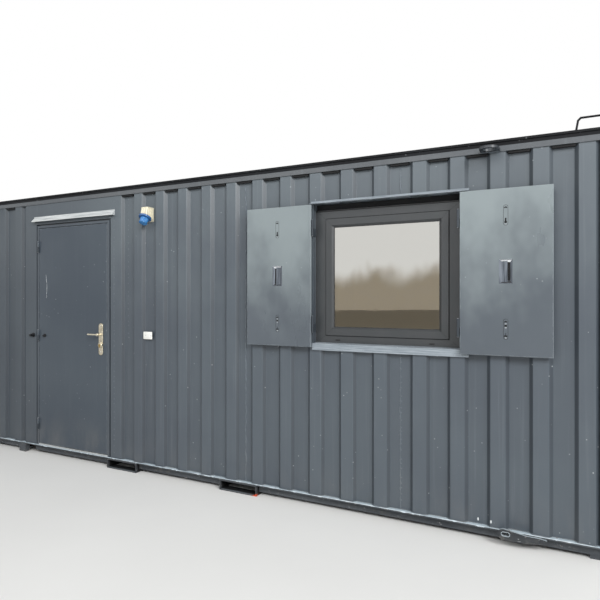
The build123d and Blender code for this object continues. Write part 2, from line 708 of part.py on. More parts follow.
def handle_plate(y_face, outward):
    """A long rounded plate with the domed guard of the lock cylinder."""
    middle_z = LEVER_HEIGHT + PLATE_ABOVE_LEVER - PLATE_HEIGHT / 2
    guard_x = LEVER_HEIGHT - CYLINDER_BELOW_LEVER - middle_z
    plane = Plane(origin=(LEVER_X, y_face, middle_z), x_dir=(0, 0, 1), z_dir=(0, outward, 0))
    plate = extrude(SlotOverall(PLATE_HEIGHT, PLATE_WIDTH), PLATE_THICKNESS)
    plate = chamfer(plate.faces().sort_by(Axis.Z)[-1].edges(), PLATE_EDGE)
    guard = extrude(Pos(guard_x, 0) * Circle(GUARD_RADIUS), PLATE_THICKNESS + GUARD_RISE)
    guard = chamfer(guard.faces().sort_by(Axis.Z)[-1].edges(), GUARD_EDGE)
    return plane.location * (plate + guard)


def make_door():
    """Leaf, hinges, buffers, handle plates, lock cylinder and the turning lever pair."""
    leaf = block(
        DOOR_HINGE_EDGE_X, DOOR_FREE_EDGE_X, DOOR_FRONT_Y, DOOR_BACK_Y, DOOR_LEAF_BOTTOM, DOOR_LEAF_TOP
    )
    leaf = chamfer(leaf.faces().sort_by(Axis.Y)[0].edges(), DOOR_LEAF_EDGE)
    leaf -= across(LEVER_X, LEVER_HEIGHT, DOOR_FRONT_Y, DOOR_BACK_Y, SPINDLE_RADIUS + TURN_CLEARANCE)

    cylinder_z = LEVER_HEIGHT - CYLINDER_BELOW_LEVER
    proud = PLATE_THICKNESS + GUARD_RISE + CYLINDER_PROUD
    y_out = DOOR_FRONT_Y - proud
    y_in = DOOR_BACK_Y + proud
    core = across(LEVER_X, cylinder_z, y_out, y_in, CYLINDER_RADIUS)
    core += block(
        LEVER_X - CYLINDER_KEY_WIDTH / 2,
        LEVER_X + CYLINDER_KEY_WIDTH / 2,
        y_out,
        y_in,
        cylinder_z - CYLINDER_DROP - CYLINDER_KEY_WIDTH / 2,
        cylinder_z,
    )
    save("door_leaf", leaf - core)
    save("lock_cylinder", core)

    spindle_hole = across(LEVER_X, LEVER_HEIGHT, -2 * HALF_WIDTH, 0, ROSE_RADIUS + TURN_CLEARANCE)
    plates = [handle_plate(DOOR_FRONT_Y, -1), handle_plate(DOOR_BACK_Y, 1)]
    save("handle_plates", *[plate - core - spindle_hole for plate in plates])

    front_arm = DOOR_FRONT_Y - LEVER_STANDOFF
    back_arm = DOOR_BACK_Y + LEVER_STANDOFF
    levers = across(LEVER_X, LEVER_HEIGHT, front_arm, back_arm, SPINDLE_RADIUS)
    for face, outward, arm_y in ((DOOR_FRONT_Y, -1, front_arm), (DOOR_BACK_Y, 1, back_arm)):
        levers += across(LEVER_X, LEVER_HEIGHT, face + outward * TURN_CLEARANCE, arm_y, ROSE_RADIUS)
        levers += lever_arm(arm_y)
    save("lever_handle", levers)

    heights = (LOW_HINGE_Z, (LOW_HINGE_Z + HIGH_HINGE_Z) / 2, HIGH_HINGE_Z)
    save("door_hinge_barrels", *[hinge_half(height, True) for height in heights])
    wall_x = HINGE_X - BUFFER_FROM_HINGE
    leaf_x = HINGE_X + BUFFER_FROM_HINGE
    save("wall_buffer", buffer(wall_x, -CREST_Y, WALL_BUFFER_LENGTH, WALL_BUFFER_RADIUS))
    save("leaf_buffer", buffer(leaf_x, DOOR_FRONT_Y, LEAF_BUFFER_LENGTH, LEAF_BUFFER_RADIUS))
    return [hinge_half(height, False) for height in heights]


def ring(x_low, x_high, z_low, z_high, side, head, y_low, y_high, bevel):
    """A rectangular frame, as wide as side and head say, bevelled round its opening at the front."""
    whole = block(x_low, x_high, y_low, y_high, z_low, z_high)
    opening_x = x_high - x_low - 2 * side
    opening_z = z_high - z_low - 2 * head
    middle = ((x_low + x_high) / 2, y_low, (z_low + z_high) / 2)
    plane = Plane(origin=middle, x_dir=(1, 0, 0), z_dir=(0, -1, 0))
    hole = extrude(plane * Rectangle(opening_x, opening_z), -(y_high - y_low))
    mouth = extrude(plane * Rectangle(opening_x + 2 * bevel, opening_z + 2 * bevel), -bevel, taper=45)
    return whole - hole - mouth


def make_window():
    """Frame, sash, glass, and the drip strips under and over the window."""
    front = WINDOW_FRONT_Y
    frame = ring(
        WINDOW_LEFT,
        WINDOW_RIGHT,
        WINDOW_BOTTOM,
        WINDOW_TOP,
        WINDOW_SIDE_FACE,
        WINDOW_HEAD_FACE,
        front,
        front + WINDOW_DEPTH,
        WINDOW_BEVEL,
    )
    save("window_frame", frame)

    sash_front = front - SASH_PROUD
    sash_left = WINDOW_LEFT + WINDOW_SIDE_FACE
    sash_right = WINDOW_RIGHT - WINDOW_SIDE_FACE
    sash_low = WINDOW_BOTTOM + WINDOW_HEAD_FACE
    sash_high = WINDOW_TOP - WINDOW_HEAD_FACE
    sash_back = sash_front + SASH_DEPTH
    sash = ring(
        sash_left, sash_right, sash_low, sash_high, SASH_FACE, SASH_FACE, sash_front, sash_back, SASH_BEVEL
    )
    pane = SASH_FACE - GLASS_SET_IN
    glass_y = (sash_front + sash_back - GLASS_THICKNESS) / 2
    glass = block(
        sash_left + pane,
        sash_right - pane,
        glass_y,
        glass_y + GLASS_THICKNESS,
        sash_low + pane,
        sash_high - pane,
    )
    save("window_sash", sash - glass)
    save("window_glass", glass)

    wall_y = -CREST_Y
    nose = wall_y - SILL_PROJECTION
    low = WINDOW_BOTTOM - SILL_DROP
    outline = [
        (front, WINDOW_BOTTOM + SILL_SHEET + SILL_FALL),
        (front, WINDOW_BOTTOM),
        (wall_y, WINDOW_BOTTOM),
        (wall_y, low),
        (nose, low),
        (nose, WINDOW_BOTTOM + SILL_SHEET),
    ]
    sill_length = WINDOW_WIDTH + SILL_LEFT_LAP + SILL_RIGHT_LAP
    sill = Pos(WINDOW_LEFT - SILL_LEFT_LAP, 0, 0) * prism(outline, sill_length, Plane.YZ)
    for low_x, high_x in ((-HALF_LENGTH, WINDOW_LEFT), (WINDOW_RIGHT, HALF_LENGTH)):
        sill -= block(low_x, high_x, wall_y, 0, 0, ROOF_EDGE_HEIGHT)

    strip_left = WINDOW_LEFT - HEAD_STRIP_LEFT_LAP
    strip_right = WINDOW_RIGHT + HEAD_STRIP_RIGHT_LAP
    strip_low = WINDOW_TOP + HEAD_STRIP_ABOVE
    strip_high = strip_low + HEAD_STRIP_HEIGHT
    strip = block(strip_left, strip_right, wall_y - HEAD_STRIP_SHEET, wall_y, strip_low, strip_high)
    shelf_front = wall_y - HEAD_STRIP_PROJECTION
    strip += block(strip_left, strip_right, shelf_front, wall_y, strip_low, strip_low + HEAD_STRIP_SHEET)
    save("window_drip_strips", sill, strip)


def shutter_hinges(pin_x, pin_y, outward):
    """Fixed and moving halves of one shutter's two hinges; outward is -1 on the left and 1 on the right."""
    fixed = []
    moving = []
    reveal_x = pin_x + outward * SHUTTER_PIN_INSIDE
    edge_x = pin_x + outward * SHUTTER_EDGE_FROM_PIN
    tip_x = edge_x + outward * SHUTTER_STRAP_LENGTH
    strap_front = SHUTTER_BACK_Y
    strap_back = SHUTTER_BACK_Y + SHUTTER_STRAP_THICKNESS
    for sign in (-1, 1):
        centre = SHUTTER_MIDDLE_Z + sign * (SHUTTER_TOP - SHUTTER_MIDDLE_Z - SHUTTER_HINGE_FROM_END)
        low = centre - SHUTTER_HINGE_LENGTH / 2
        high = centre + SHUTTER_HINGE_LENGTH / 2
        split_low = centre - HINGE_SPLIT / 2
        split_high = centre + HINGE_SPLIT / 2
        barrel = upright(pin_x, pin_y, low, split_low, SHUTTER_BARREL_RADIUS)
        plate_x = sorted((reveal_x, reveal_x - outward * SHUTTER_STRAP_THICKNESS))
        plate_back = -CREST_Y + SHUTTER_LEAF_REACH
        plate = block(plate_x[0], plate_x[1], pin_y, plate_back, low, split_low)
        pin = upright(pin_x, pin_y, low, high - HINGE_SPLIT, SHUTTER_PIN_RADIUS)
        fixed.append(barrel + plate + pin)

        upper = upright(pin_x, pin_y, split_high, high, SHUTTER_BARREL_RADIUS)
        strap_x = sorted((edge_x, tip_x))
        strap = block(strap_x[0], strap_x[1], strap_front, strap_back, split_high, high)
        link_x = sorted((pin_x, edge_x))
        link = block(link_x[0], link_x[1], pin_y, strap_back, split_high, high)
        bore = upright(pin_x, pin_y, split_high, high, SHUTTER_PIN_RADIUS + HINGE_BORE_CLEARANCE)
        moving.append(upper + strap + link - bore)
    return fixed, moving


def flush_pull(x, toward_free):
    """The pressed tray of one flush pull and the block that is cut out of the shutter for it."""
    half_width = PULL_WIDTH / 2
    half_height = PULL_HEIGHT / 2
    inner = half_width - PULL_RIM
    floor = PULL_DEPTH - PULL_SHEET
    z = SHUTTER_MIDDLE_Z + PULL_ABOVE_MIDDLE
    front = SHUTTER_FRONT_Y
    whole = block(x - half_width, x + half_width, front, front + PULL_DEPTH, z - half_height, z + half_height)

    grip_start = -inner + PULL_FACET
    grip_end = grip_start + PULL_GRIP
    plan = [
        (-inner, 0),
        (grip_start, PULL_GRIP_DEPTH),
        (grip_end, PULL_GRIP_DEPTH - PULL_SHEET),
        (grip_end, floor),
        (inner - PULL_SHEET, floor),
        (inner, 0),
    ]
    plan = [(x + toward_free * along, front + depth) for along, depth in plan]
    end = half_height - PULL_RIM
    side = [
        (front, z - end),
        (front + floor, z - end + PULL_SLOPE),
        (front + floor, z + end - PULL_SLOPE),
        (front, z + end),
    ]
    long_way = prism(plan, 2 * ROOF_EDGE_HEIGHT, Plane.XY)
    cross_way = Pos(-HALF_LENGTH, 0, 0) * prism(side, CABIN_LENGTH, Plane.YZ)
    return whole - (long_way & cross_way), whole


def bolt_slot(x, z):
    """What is cut out of a shutter for one bolt: an oblong groove round a bolt hole with its slit."""
    plane = Plane(origin=(x, SHUTTER_FRONT_Y, z), x_dir=(0, 0, 1), z_dir=(0, -1, 0))
    outer = SlotOverall(BOLT_SLOT_LENGTH, BOLT_SLOT_WIDTH)
    inner = SlotOverall(BOLT_SLOT_LENGTH - 2 * BOLT_GROOVE, BOLT_SLOT_WIDTH - 2 * BOLT_GROOVE)
    groove = extrude(plane * (outer - inner), -BOLT_GROOVE_DEPTH)
    reach = BOLT_SLOT_LENGTH / 2 - BOLT_HOLE_FROM_END
    hole = Pos(-reach, 0) * Circle(BOLT_HOLE_RADIUS)
    slit = Pos(BOLT_SLIT_LENGTH / 2 - reach, 0) * Rectangle(BOLT_SLIT_LENGTH, BOLT_SLIT_WIDTH)
    crescent = Pos(reach, 0) * Circle(BOLT_HOLE_RADIUS)
    crescent -= Pos(reach - BOLT_SLIT_WIDTH, 0) * Circle(BOLT_HOLE_RADIUS)
    holes = extrude(plane * (hole + slit), -BOLT_HOLE_DEPTH) + extrude(plane * crescent, -BOLT_HOLE_DEPTH)
    return groove + holes


def make_shutter(side, pin_x, pin_y, outward):
    """One shutter folded back against the wall, with its flush pull, bolt slots and hinges."""
    edge = pin_x + outward * SHUTTER_EDGE_FROM_PIN
    free = edge + outward * SHUTTER_WIDTH
    panel_x = sorted((edge, free))
    panel = block(panel_x[0], panel_x[1], SHUTTER_FRONT_Y, SHUTTER_BACK_Y, SHUTTER_BOTTOM, SHUTTER_TOP)
    panel = chamfer(panel.faces().sort_by(Axis.Y)[0].edges(), SHUTTER_EDGE)
    fittings_x = free - outward * FITTINGS_FROM_FREE_EDGE
    tray, pocket = flush_pull(fittings_x, outward)
    panel -= pocket
    for slot_z in (SHUTTER_BOTTOM + BOLT_SLOT_FROM_END, SHUTTER_TOP - BOLT_SLOT_FROM_END):
        panel -= bolt_slot(fittings_x, slot_z)
    save(f"{side}_shutter_panel", panel)
    save(f"{side}_shutter_cup", tray)
    fixed, moving = shutter_hinges(pin_x, pin_y, outward)
    save(f"{side}_shutter_hinges", *moving)
    return fixed


def make_inlet():
    """Power inlet: a moulded housing on the wall and a tilted flanged socket with its lid closed."""
    half = INLET_WIDTH / 2
    wall_y = -CREST_Y + SHEET_DEPTH
    front_top = wall_y - INLET_TOP_DEPTH
    front_low = wall_y - INLET_BOTTOM_DEPTH
    low_front = INLET_TOP - INLET_FRONT_HEIGHT
    low_rear = INLET_TOP - INLET_REAR_HEIGHT
    outline = [(wall_y, low_rear), (wall_y, INLET_TOP), (front_top, INLET_TOP), (front_low, low_front)]
    housing = Pos(INLET_X - half, 0, 0) * prism(outline, INLET_WIDTH, Plane.YZ)
    upright_edges = housing.faces().sort_by(Axis.Y)[0].edges().filter_by(Axis.X, reverse=True)
    housing = fillet(upright_edges, INLET_ROUNDING)
    for number in range(INLET_RIBS):
        rib_x = INLET_X + (number - (INLET_RIBS - 1) / 2) * INLET_WIDTH / (INLET_RIBS + 1)
        groove = block(
            rib_x - INLET_RIB_WIDTH / 2,
            rib_x + INLET_RIB_WIDTH / 2,
            front_low,
            front_top + INLET_RIB_DEPTH,
            low_front + INLET_ROUNDING,
            INLET_TOP - INLET_ROUNDING,
        )
        housing -= groove
    save("inlet_housing", housing)

    rear = Vector(INLET_X, wall_y, low_rear)
    nose = Vector(INLET_X, front_low, low_front)
    away = (rear - nose).normalized().cross(Vector(1, 0, 0))
    centre = (rear + nose) / 2 + (nose - rear).normalized() * SOCKET_FLANGE_OUT
    plane = Plane(origin=centre, x_dir=(1, 0, 0), z_dir=away)
    flange = extrude(plane * Circle(SOCKET_FLANGE_RADIUS), SOCKET_FLANGE_THICKNESS)
    throat = plane.offset(SOCKET_FLANGE_THICKNESS)
    tip = throat.offset(SOCKET_LENGTH)
    socket = flange + loft([throat * Circle(SOCKET_RADIUS), tip * Circle(SOCKET_TIP_RADIUS)])
    socket += extrude(tip * Circle(SOCKET_LID_RADIUS), SOCKET_LID_THICKNESS)
    save("inlet_socket", socket)


def make_lifting_points():
    """D shaped lugs on the top rails, slotted lugs on the base rails and bent bar hoops on the roof."""
    face = -(HALF_WIDTH - TOP_RAIL_SETBACK)
    half = TOP_LUG_WIDTH / 2
    plan = Rectangle(TOP_LUG_WIDTH, TOP_LUG_DEPTH, align=(Align.CENTER, Align.MAX))
    plan = Pos(TOP_LUG_X, face) * fillet(plan.vertices().group_by(Axis.Y)[0], TOP_LUG_CORNER)
    plan -= Pos(TOP_LUG_X, face - TOP_LUG_HOLE_OUT) * Circle(TOP_LUG_HOLE_RADIUS)
    lug = extrude(Plane.XY.offset(TOP_LUG_HEIGHT) * plan, TOP_LUG_THICKNESS)
    save("top_lugs", *four_corners(lug))

    reach = BASE_LUG_LENGTH - BASE_LUG_BIG_RADIUS - BASE_LUG_SMALL_RADIUS
    big = Circle(BASE_LUG_BIG_RADIUS)
    small = Pos(reach, BASE_LUG_SMALL_RADIUS - BASE_LUG_BIG_RADIUS) * Circle(BASE_LUG_SMALL_RADIUS)
    shape = make_hull([*big.edges(), *small.edges()])
    slot = SlotOverall(BASE_LUG_SLOT_LENGTH, 2 * BASE_LUG_SLOT_RADIUS)
    shape -= Pos(BASE_LUG_SLOT_LENGTH / 4, BASE_LUG_SLOT_RISE) * slot
    plane = Plane(origin=(BASE_LUG_X, -WEB_Y, BASE_LUG_HEIGHT), x_dir=(1, 0, 0), z_dir=(0, -1, 0))
    plate = extrude(plane * shape, RAIL_WEB_RECESS + BASE_LUG_STANDOFF + BASE_LUG_THICKNESS)
    start = BASE_LUG_X - BASE_LUG_BIG_RADIUS
    finish = start + BASE_LUG_LENGTH
    weld = finish - BASE_LUG_WELD
    bend = weld - BASE_LUG_SLANT
    plan = [
        (start, -HALF_WIDTH - BASE_LUG_STANDOFF),
        (bend, -HALF_WIDTH - BASE_LUG_STANDOFF),
        (weld, -HALF_WIDTH),
        (weld, -WEB_Y),
        (finish, -WEB_Y),
        (finish, -HALF_WIDTH - BASE_LUG_THICKNESS),
        (weld, -HALF_WIDTH - BASE_LUG_THICKNESS),
        (bend, -HALF_WIDTH - BASE_LUG_STANDOFF - BASE_LUG_THICKNESS),
        (start, -HALF_WIDTH - BASE_LUG_STANDOFF - BASE_LUG_THICKNESS),
    ]
    under_ledge = block(start, finish, -HALF_WIDTH, -WEB_Y, RAIL_TOP, 2 * LEDGE_TOP)
    lug = (plate & prism(plan, 2 * LEDGE_TOP, Plane.XY)) - under_ledge
    save("base_lugs", *four_corners(lug))

    hoop_y = -(HALF_WIDTH - EDGE_BAND_WIDTH / 2)
    low = ROOF_EDGE_HEIGHT
    high = ROOF_EDGE_HEIGHT + HOOP_HEIGHT - HOOP_BAR_RADIUS
    foot = HOOP_LENGTH / 2
    shoulder = foot - HOOP_SPLAY * (1 - HOOP_BEND / HOOP_HEIGHT)
    left_half = [(-foot, low), (-shoulder, high - HOOP_BEND), (HOOP_BEND - shoulder, high)]
    right_half = [(-along, height) for along, height in reversed(left_half)]
    path = Polyline(*[(HOOP_X + along, hoop_y, height) for along, height in left_half + right_half])
    section = Plane(origin=path @ 0, z_dir=path % 0) * Circle(HOOP_BAR_RADIUS)
    hoop = sweep(section, path, transition=Transition.RIGHT)
    hoop -= block(0, 2 * HALF_LENGTH, -2 * HALF_WIDTH, 0, 0, low)
    save("roof_hoops", *four_corners(hoop))


def make_shutters():
    """Both shutters; returns their hinge halves that are welded to the wall."""
    fixed = make_shutter("left", LEFT_PIN_X, LEFT_PIN_Y, -1)
    fixed += make_shutter("right", RIGHT_PIN_X, RIGHT_PIN_Y, 1)
    return fixed


make_base()
make_walls()
make_roof()
make_door_frame()
make_window()
save("hinge_pins", *make_door(), *make_shutters())
make_inlet()
make_lifting_points()
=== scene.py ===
"""Looks of the site cabin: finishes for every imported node, and the beads, screws, seals and trims on them.

X runs along the long side, the front faces -Y and Z is up, in metres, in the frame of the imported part.
"""

import json
import logging
import math
from dataclasses import dataclass
from enum import Enum

import bmesh
import bpy
import numpy as np
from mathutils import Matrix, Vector
from numpy.typing import ArrayLike

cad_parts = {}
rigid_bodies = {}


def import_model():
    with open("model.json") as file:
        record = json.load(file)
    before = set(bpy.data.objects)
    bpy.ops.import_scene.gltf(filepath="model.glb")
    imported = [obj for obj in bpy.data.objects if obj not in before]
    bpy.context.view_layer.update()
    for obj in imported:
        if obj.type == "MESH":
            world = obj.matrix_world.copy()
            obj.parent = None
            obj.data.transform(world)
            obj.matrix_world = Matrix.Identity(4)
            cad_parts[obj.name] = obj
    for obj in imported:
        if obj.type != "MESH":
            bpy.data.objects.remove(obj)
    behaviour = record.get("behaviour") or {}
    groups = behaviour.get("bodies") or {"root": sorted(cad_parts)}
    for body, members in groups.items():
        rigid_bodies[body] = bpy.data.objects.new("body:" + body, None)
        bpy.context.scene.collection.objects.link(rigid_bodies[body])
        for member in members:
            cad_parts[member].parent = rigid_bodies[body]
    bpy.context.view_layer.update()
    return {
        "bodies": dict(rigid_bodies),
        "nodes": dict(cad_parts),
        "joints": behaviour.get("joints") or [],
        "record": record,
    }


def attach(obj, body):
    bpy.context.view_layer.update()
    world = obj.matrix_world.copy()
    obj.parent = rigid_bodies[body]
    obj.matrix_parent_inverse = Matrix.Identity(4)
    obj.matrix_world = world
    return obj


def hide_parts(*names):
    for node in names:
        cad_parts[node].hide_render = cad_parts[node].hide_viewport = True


LOG = logging.getLogger("cabin")

Triple = tuple[float, float, float]
Array = np.ndarray
Socket = bpy.types.NodeSocket
Feed = Socket | float | tuple
Inputs = dict[str | int, Feed]
Material = bpy.types.Material

# Angles in degrees past which an edge stays sharp, on plain and on round pieces
PLAIN_SHARP = 35.0
ROUND_SHARP = 60.0

# Numbers of the colour inputs and the colour output of Blender's mixing node
MIX_FIRST = 6
MIX_SECOND = 7
MIX_RESULT = 2

# Distances of the wall's crests and recesses from the middle of the cabin
CREST_Y = 1.205
RECESS_Y = 1.181

# Colours of wear and soil, and of painted shade, highlights and reflections, as they show on a screen
PALE_RUN_SHEEN = (150, 158, 163)
DARK_RUN_SHADE = (58, 63, 68)
PAINTED_SKY_SHEEN = (136, 146, 148)
LEFT_SHADE = (44, 52, 60)
RECESS_SHADE = (52, 57, 62)
BEND_SHADE = (40, 45, 51)
FOOT_DUST = (140, 136, 128)
PALE_FLECK = (176, 181, 183)
RAIL_SPLASH = (128, 124, 116)
CHIP_RIM = (165, 171, 173)
CHIP_CORE = (104, 66, 44)
DEEP_RUST = (92, 48, 30)
LIGHT_RUST = (150, 84, 52)
RED_MARK = (196, 78, 48)
HOLLOW_SHADE = (12, 12, 13)
BRUSH_CLOUD = (92, 99, 106)
PAINTED_GLINT = (204, 210, 213)
SHEET_SOIL = (126, 124, 118)
SHEET_RUST = (116, 78, 52)
WOOD_STAIN = (94, 80, 64)
PORE_DUST = (168, 164, 154)
CUP_TOP_REFLECTION = (236, 239, 242)
CUP_FOOT_SHADE = (38, 40, 43)


class Body(Enum):
    """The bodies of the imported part."""

    CABIN = "cabin"
    DOOR = "door"
    HANDLE = "door_handle"
    LEFT_SHUTTER = "left_shutter"
    RIGHT_SHUTTER = "right_shutter"


def linear(colour: Triple) -> tuple[float, float, float, float]:
    """Turn a display colour of 0 to 255 into the linear colour of a shader socket.

    Args:
        colour: Red, green and blue as they show on a screen.

    Returns:
        Red, green, blue and alpha from 0 to 1, by the usual display curve.
    """
    share = np.array(colour, dtype=float) / 255.0
    low = share / 12.92
    high = ((share + 0.055) / 1.055) ** 2.4
    red, green, blue = np.where(share <= 0.04045, low, high)
    return (float(red), float(green), float(blue), 1.0)


@dataclass
class Skin:
    """A closed skin: its points, its four sided faces and its end caps.

    Attributes:
        points: One row of three coordinates for each point.
        quads: One row of four point numbers for each face.
        caps: The point numbers of each end face.
    """

    points: Array
    quads: Array
    caps: list[Array]

    @classmethod
    def loft(cls, loops: Array, closed: bool = False) -> "Skin":
        """Join loops of points into one skin.

        Formula: face (i, j) takes points j and j + 1 of loop i and of loop i + 1, counted round the loop.
        A closed skin runs from its last loop back into the first. Otherwise a flat face closes each end.

        Args:
            loops: Points as loops x points round a loop x 3.
            closed: Whether the skin runs back into itself.

        Returns:
            The skin.
        """
        count, around = loops.shape[:2]
        rows = count if closed else count - 1
        row, column = np.meshgrid(np.arange(rows), np.arange(around), indexing="ij")
        after = (column + 1) % around
        first = row * around
        beyond = (row + 1) % count * around
        corners = (first + column, first + after, beyond + after, beyond + column)
        quads = np.stack(corners, axis=-1).reshape(-1, 4)
        ring = np.arange(around)
        caps = [] if closed else [ring[::-1], ring + (count - 1) * around]
        return cls(loops.reshape(-1, 3), quads, caps)

    def at(self, places: Array) -> "Skin":
        """Repeat the skin.

        Formula: every point of the skin plus every place.

        Args:
            places: Offsets as places x 3.

        Returns:
            One skin with a copy at each place.
        """
        places = np.atleast_2d(np.asarray(places, dtype=float))
        step = len(self.points) * np.arange(len(places))
        points = (self.points[None, :, :] + places[:, None, :]).reshape(-1, 3)
        quads = (self.quads[None, :, :] + step[:, None, None]).reshape(-1, 4)
        caps = [cap + first for first in step for cap in self.caps]
        return Skin(points, quads, caps)

    def turned(self, matrix: Array) -> "Skin":
        """Return the skin with its points multiplied by a 3 x 3 matrix."""
        return Skin(self.points @ matrix.T, self.quads, self.caps)

    @classmethod
    def joined(cls, parts: list["Skin"]) -> "Skin":
        """Join skins into one.

        Args:
            parts: The skins.

        Returns:
            One skin with the points and faces of all.
        """
        starts = np.concatenate(([0], np.cumsum([len(part.points) for part in parts])[:-1]))
        points = np.concatenate([part.points for part in parts])
        quads = np.concatenate([part.quads + start for part, start in zip(parts, starts)])
        caps = [cap + start for part, start in zip(parts, starts) for cap in part.caps]
        return cls(points, quads, caps)

    def plus(self, *others: "Skin") -> "Skin":
        """Return this skin and the others as one."""
        return Skin.joined([self, *others])


# Directions that a path never runs along, for the turn of its section
ALONG_X = (1.0, 0.0, 0.0)
ALONG_Y = (0.0, 1.0, 0.0)
ALONG_Z = (0.0, 0.0, 1.0)

# Rows are the new X, Y and Z of a skin that was worked out with its face towards +Z
FACE_DOWN = np.array([[1.0, 0.0, 0.0], [0.0, -1.0, 0.0], [0.0, 0.0, -1.0]])
FACE_FRONT = np.array([[1.0, 0.0, 0.0], [0.0, 0.0, -1.0], [0.0, 1.0, 0.0]])
FACE_REAR = np.array([[-1.0, 0.0, 0.0], [0.0, 0.0, 1.0], [0.0, 1.0, 0.0]])
FACE_RIGHT = np.array([[0.0, 0.0, 1.0], [1.0, 0.0, 0.0], [0.0, 1.0, 0.0]])
FACE_LEFT = np.array([[0.0, 0.0, -1.0], [-1.0, 0.0, 0.0], [0.0, 1.0, 0.0]])


def points_at(x: ArrayLike, y: ArrayLike, z: ArrayLike) -> Array:
    """Return rows of X, Y and Z, where a single number holds for every row."""
    return np.stack(np.broadcast_arrays(x, y, z), axis=-1)


def rounded_loop(width: float, height: float, corner: float, per_corner: int = 5) -> Array:
    """Points round a rectangle with round corners.

    Formula: a quarter circle of the corner's radius about each inner corner point, one after the other.

    Args:
        width: Size along the first axis.
        height: Size along the second axis.
        corner: Radius of the corners.
        per_corner: Points on each quarter circle.

    Returns:
        Points as (4 x per_corner) x 2.
    """
    corner = min(corner, width / 2 - 1e-6, height / 2 - 1e-6)
    turn = np.linspace(0.0, math.pi / 2, per_corner)
    start = np.array([0.0, 0.5, 1.0, 1.5])[:, None] * math.pi
    angle = start + turn[None, :]
    middle_x = np.array([1, -1, -1, 1])[:, None] * (width / 2 - corner)
    middle_y = np.array([1, 1, -1, -1])[:, None] * (height / 2 - corner)
    x = middle_x + corner * np.cos(angle)
    y = middle_y + corner * np.sin(angle)
    return np.stack((x.ravel(), y.ravel()), axis=-1)


def plate(width: float, height: float, thickness: float, corner: float, edge: float) -> Skin:
    """A flat plate with round corners and a rounded front edge, its face towards +Z and its back at 0.

    Formula: the same rounded rectangle at the back and, drawn in by edge x (1 - cos t) at height
    thickness - edge x (1 - sin t) for t from 0 to a quarter turn, over the front.

    Args:
        width: Size along X.
        height: Size along Y.
        thickness: Size along Z.
        corner: Radius of the corners.
        edge: Radius of the rounding at the front.

    Returns:
        The plate as one skin.
    """
    turn = np.linspace(0.0, math.pi / 2, 4)
    inset = np.concatenate(([0.0], edge * (1 - np.cos(turn))))
    level = np.concatenate(([0.0], thickness - edge * (1 - np.sin(turn))))
    outer = rounded_loop(width, height, corner)
    scale = np.stack(((width - 2 * inset) / width, (height - 2 * inset) / height), axis=-1)
    flat = outer[None, :, :] * scale[:, None, :]
    rise = np.broadcast_to(level[:, None, None], (*flat.shape[:2], 1))
    return Skin.loft(np.concatenate((flat, rise), axis=-1))


def lathe(profile: Array, sides: int = 20, ribs: int = 0) -> Skin:
    """A turned piece about Z, with upright ribs where its profile asks for them.

    Formula: point (i, j) is (r cos a, r sin a, z) with the angle a = 2 pi j / sides, height z from profile
    row i and radius r = the row's radius + the row's rib height x cos(ribs x a).

    Args:
        profile: Radius, height and, where there are ribs, rib height of each ring from the foot to the tip.
        sides: Points round a ring.
        ribs: How many ribs stand round the piece.

    Returns:
        The turned skin with both ends closed.
    """
    profile = np.asarray(profile, dtype=float)
    angle = np.arange(sides) * 2 * math.pi / sides
    radius = profile[:, :1] + np.zeros_like(angle)
    if ribs:
        radius = radius + profile[:, 2:3] * np.cos(ribs * angle)
    z = np.broadcast_to(profile[:, 1:2], radius.shape)
    return Skin.loft(np.stack((radius * np.cos(angle), radius * np.sin(angle), z), axis=-1))


def dome(radius: float, height: float, sides: int = 12) -> Skin:
    """A low round head, such as a rivet or a screw, its face towards +Z.

    Formula: rings of radius x cos t at height x sin t for t from 0 to 80 degrees.

    Args:
        radius: Radius of its foot.
        height: How far it stands out.
        sides: Points round a ring.

    Returns:
        The head with both ends closed.
    """
    turn = np.radians(np.array([0.0, 25.0, 50.0, 68.0, 80.0]))
    return lathe(np.stack((radius * np.cos(turn), height * np.sin(turn)), axis=-1), sides)


def swept(
    path: Array,
    section: Array,
    size: Array | float = 1.0,
    up: Triple = ALONG_Z,
    closed: bool = False,
) -> Skin:
    """A closed section carried along a path.

    Formula: at each path point the section's first axis lies along side = direction x up and its second
    along side x direction, both times the size there. The direction is the central difference of the path,
    counted round where the path comes back to its start.

    Args:
        path: Points as steps x 3, the last one not a repeat of the first.
        section: Closed outline as points x 2.
        size: Scale of the section, one for all steps or one for each.
        up: A direction that the path never runs along.
        closed: Whether the path comes back to its start.

    Returns:
        The swept skin.
    """
    path = np.asarray(path, dtype=float)
    if closed:
        direction = np.roll(path, -1, axis=0) - np.roll(path, 1, axis=0)
    else:
        direction = np.gradient(path, axis=0)
    direction /= np.linalg.norm(direction, axis=1, keepdims=True)
    side = np.cross(direction, np.asarray(up, dtype=float))
    side /= np.linalg.norm(side, axis=1, keepdims=True)
    over = np.cross(side, direction)
    scale = np.broadcast_to(np.asarray(size, dtype=float), (len(path),))[:, None, None]
    flat = section[None, :, :] * scale
    loops = path[:, None, :] + flat[..., :1] * side[:, None, :] + flat[..., 1:] * over[:, None, :]
    return Skin.loft(loops, closed)


def upright_loop(centre: Triple, width: float, height: float, corner: float, per_corner: int = 5) -> Array:
    """Points round an upright rectangle with round corners, seen from the front.

    Formula: the loop of rounded_loop laid along X and Z about the centre.

    Args:
        centre: Its middle.
        width: Size along X.
        height: Size along Z.
        corner: Radius of the corners.
        per_corner: Points on each quarter circle.

    Returns:
        Points as (4 x per_corner) x 3.
    """
    loop = rounded_loop(width, height, corner, per_corner)
    return points_at(centre[0] + loop[:, 0], centre[1], centre[2] + loop[:, 1])


def round_section(radius: float, sides: int = 8) -> Array:
    """Return a circle of the radius as a closed outline of that many points."""
    angle = np.arange(sides) * 2 * math.pi / sides
    return radius * np.stack((np.cos(angle), np.sin(angle)), axis=-1)


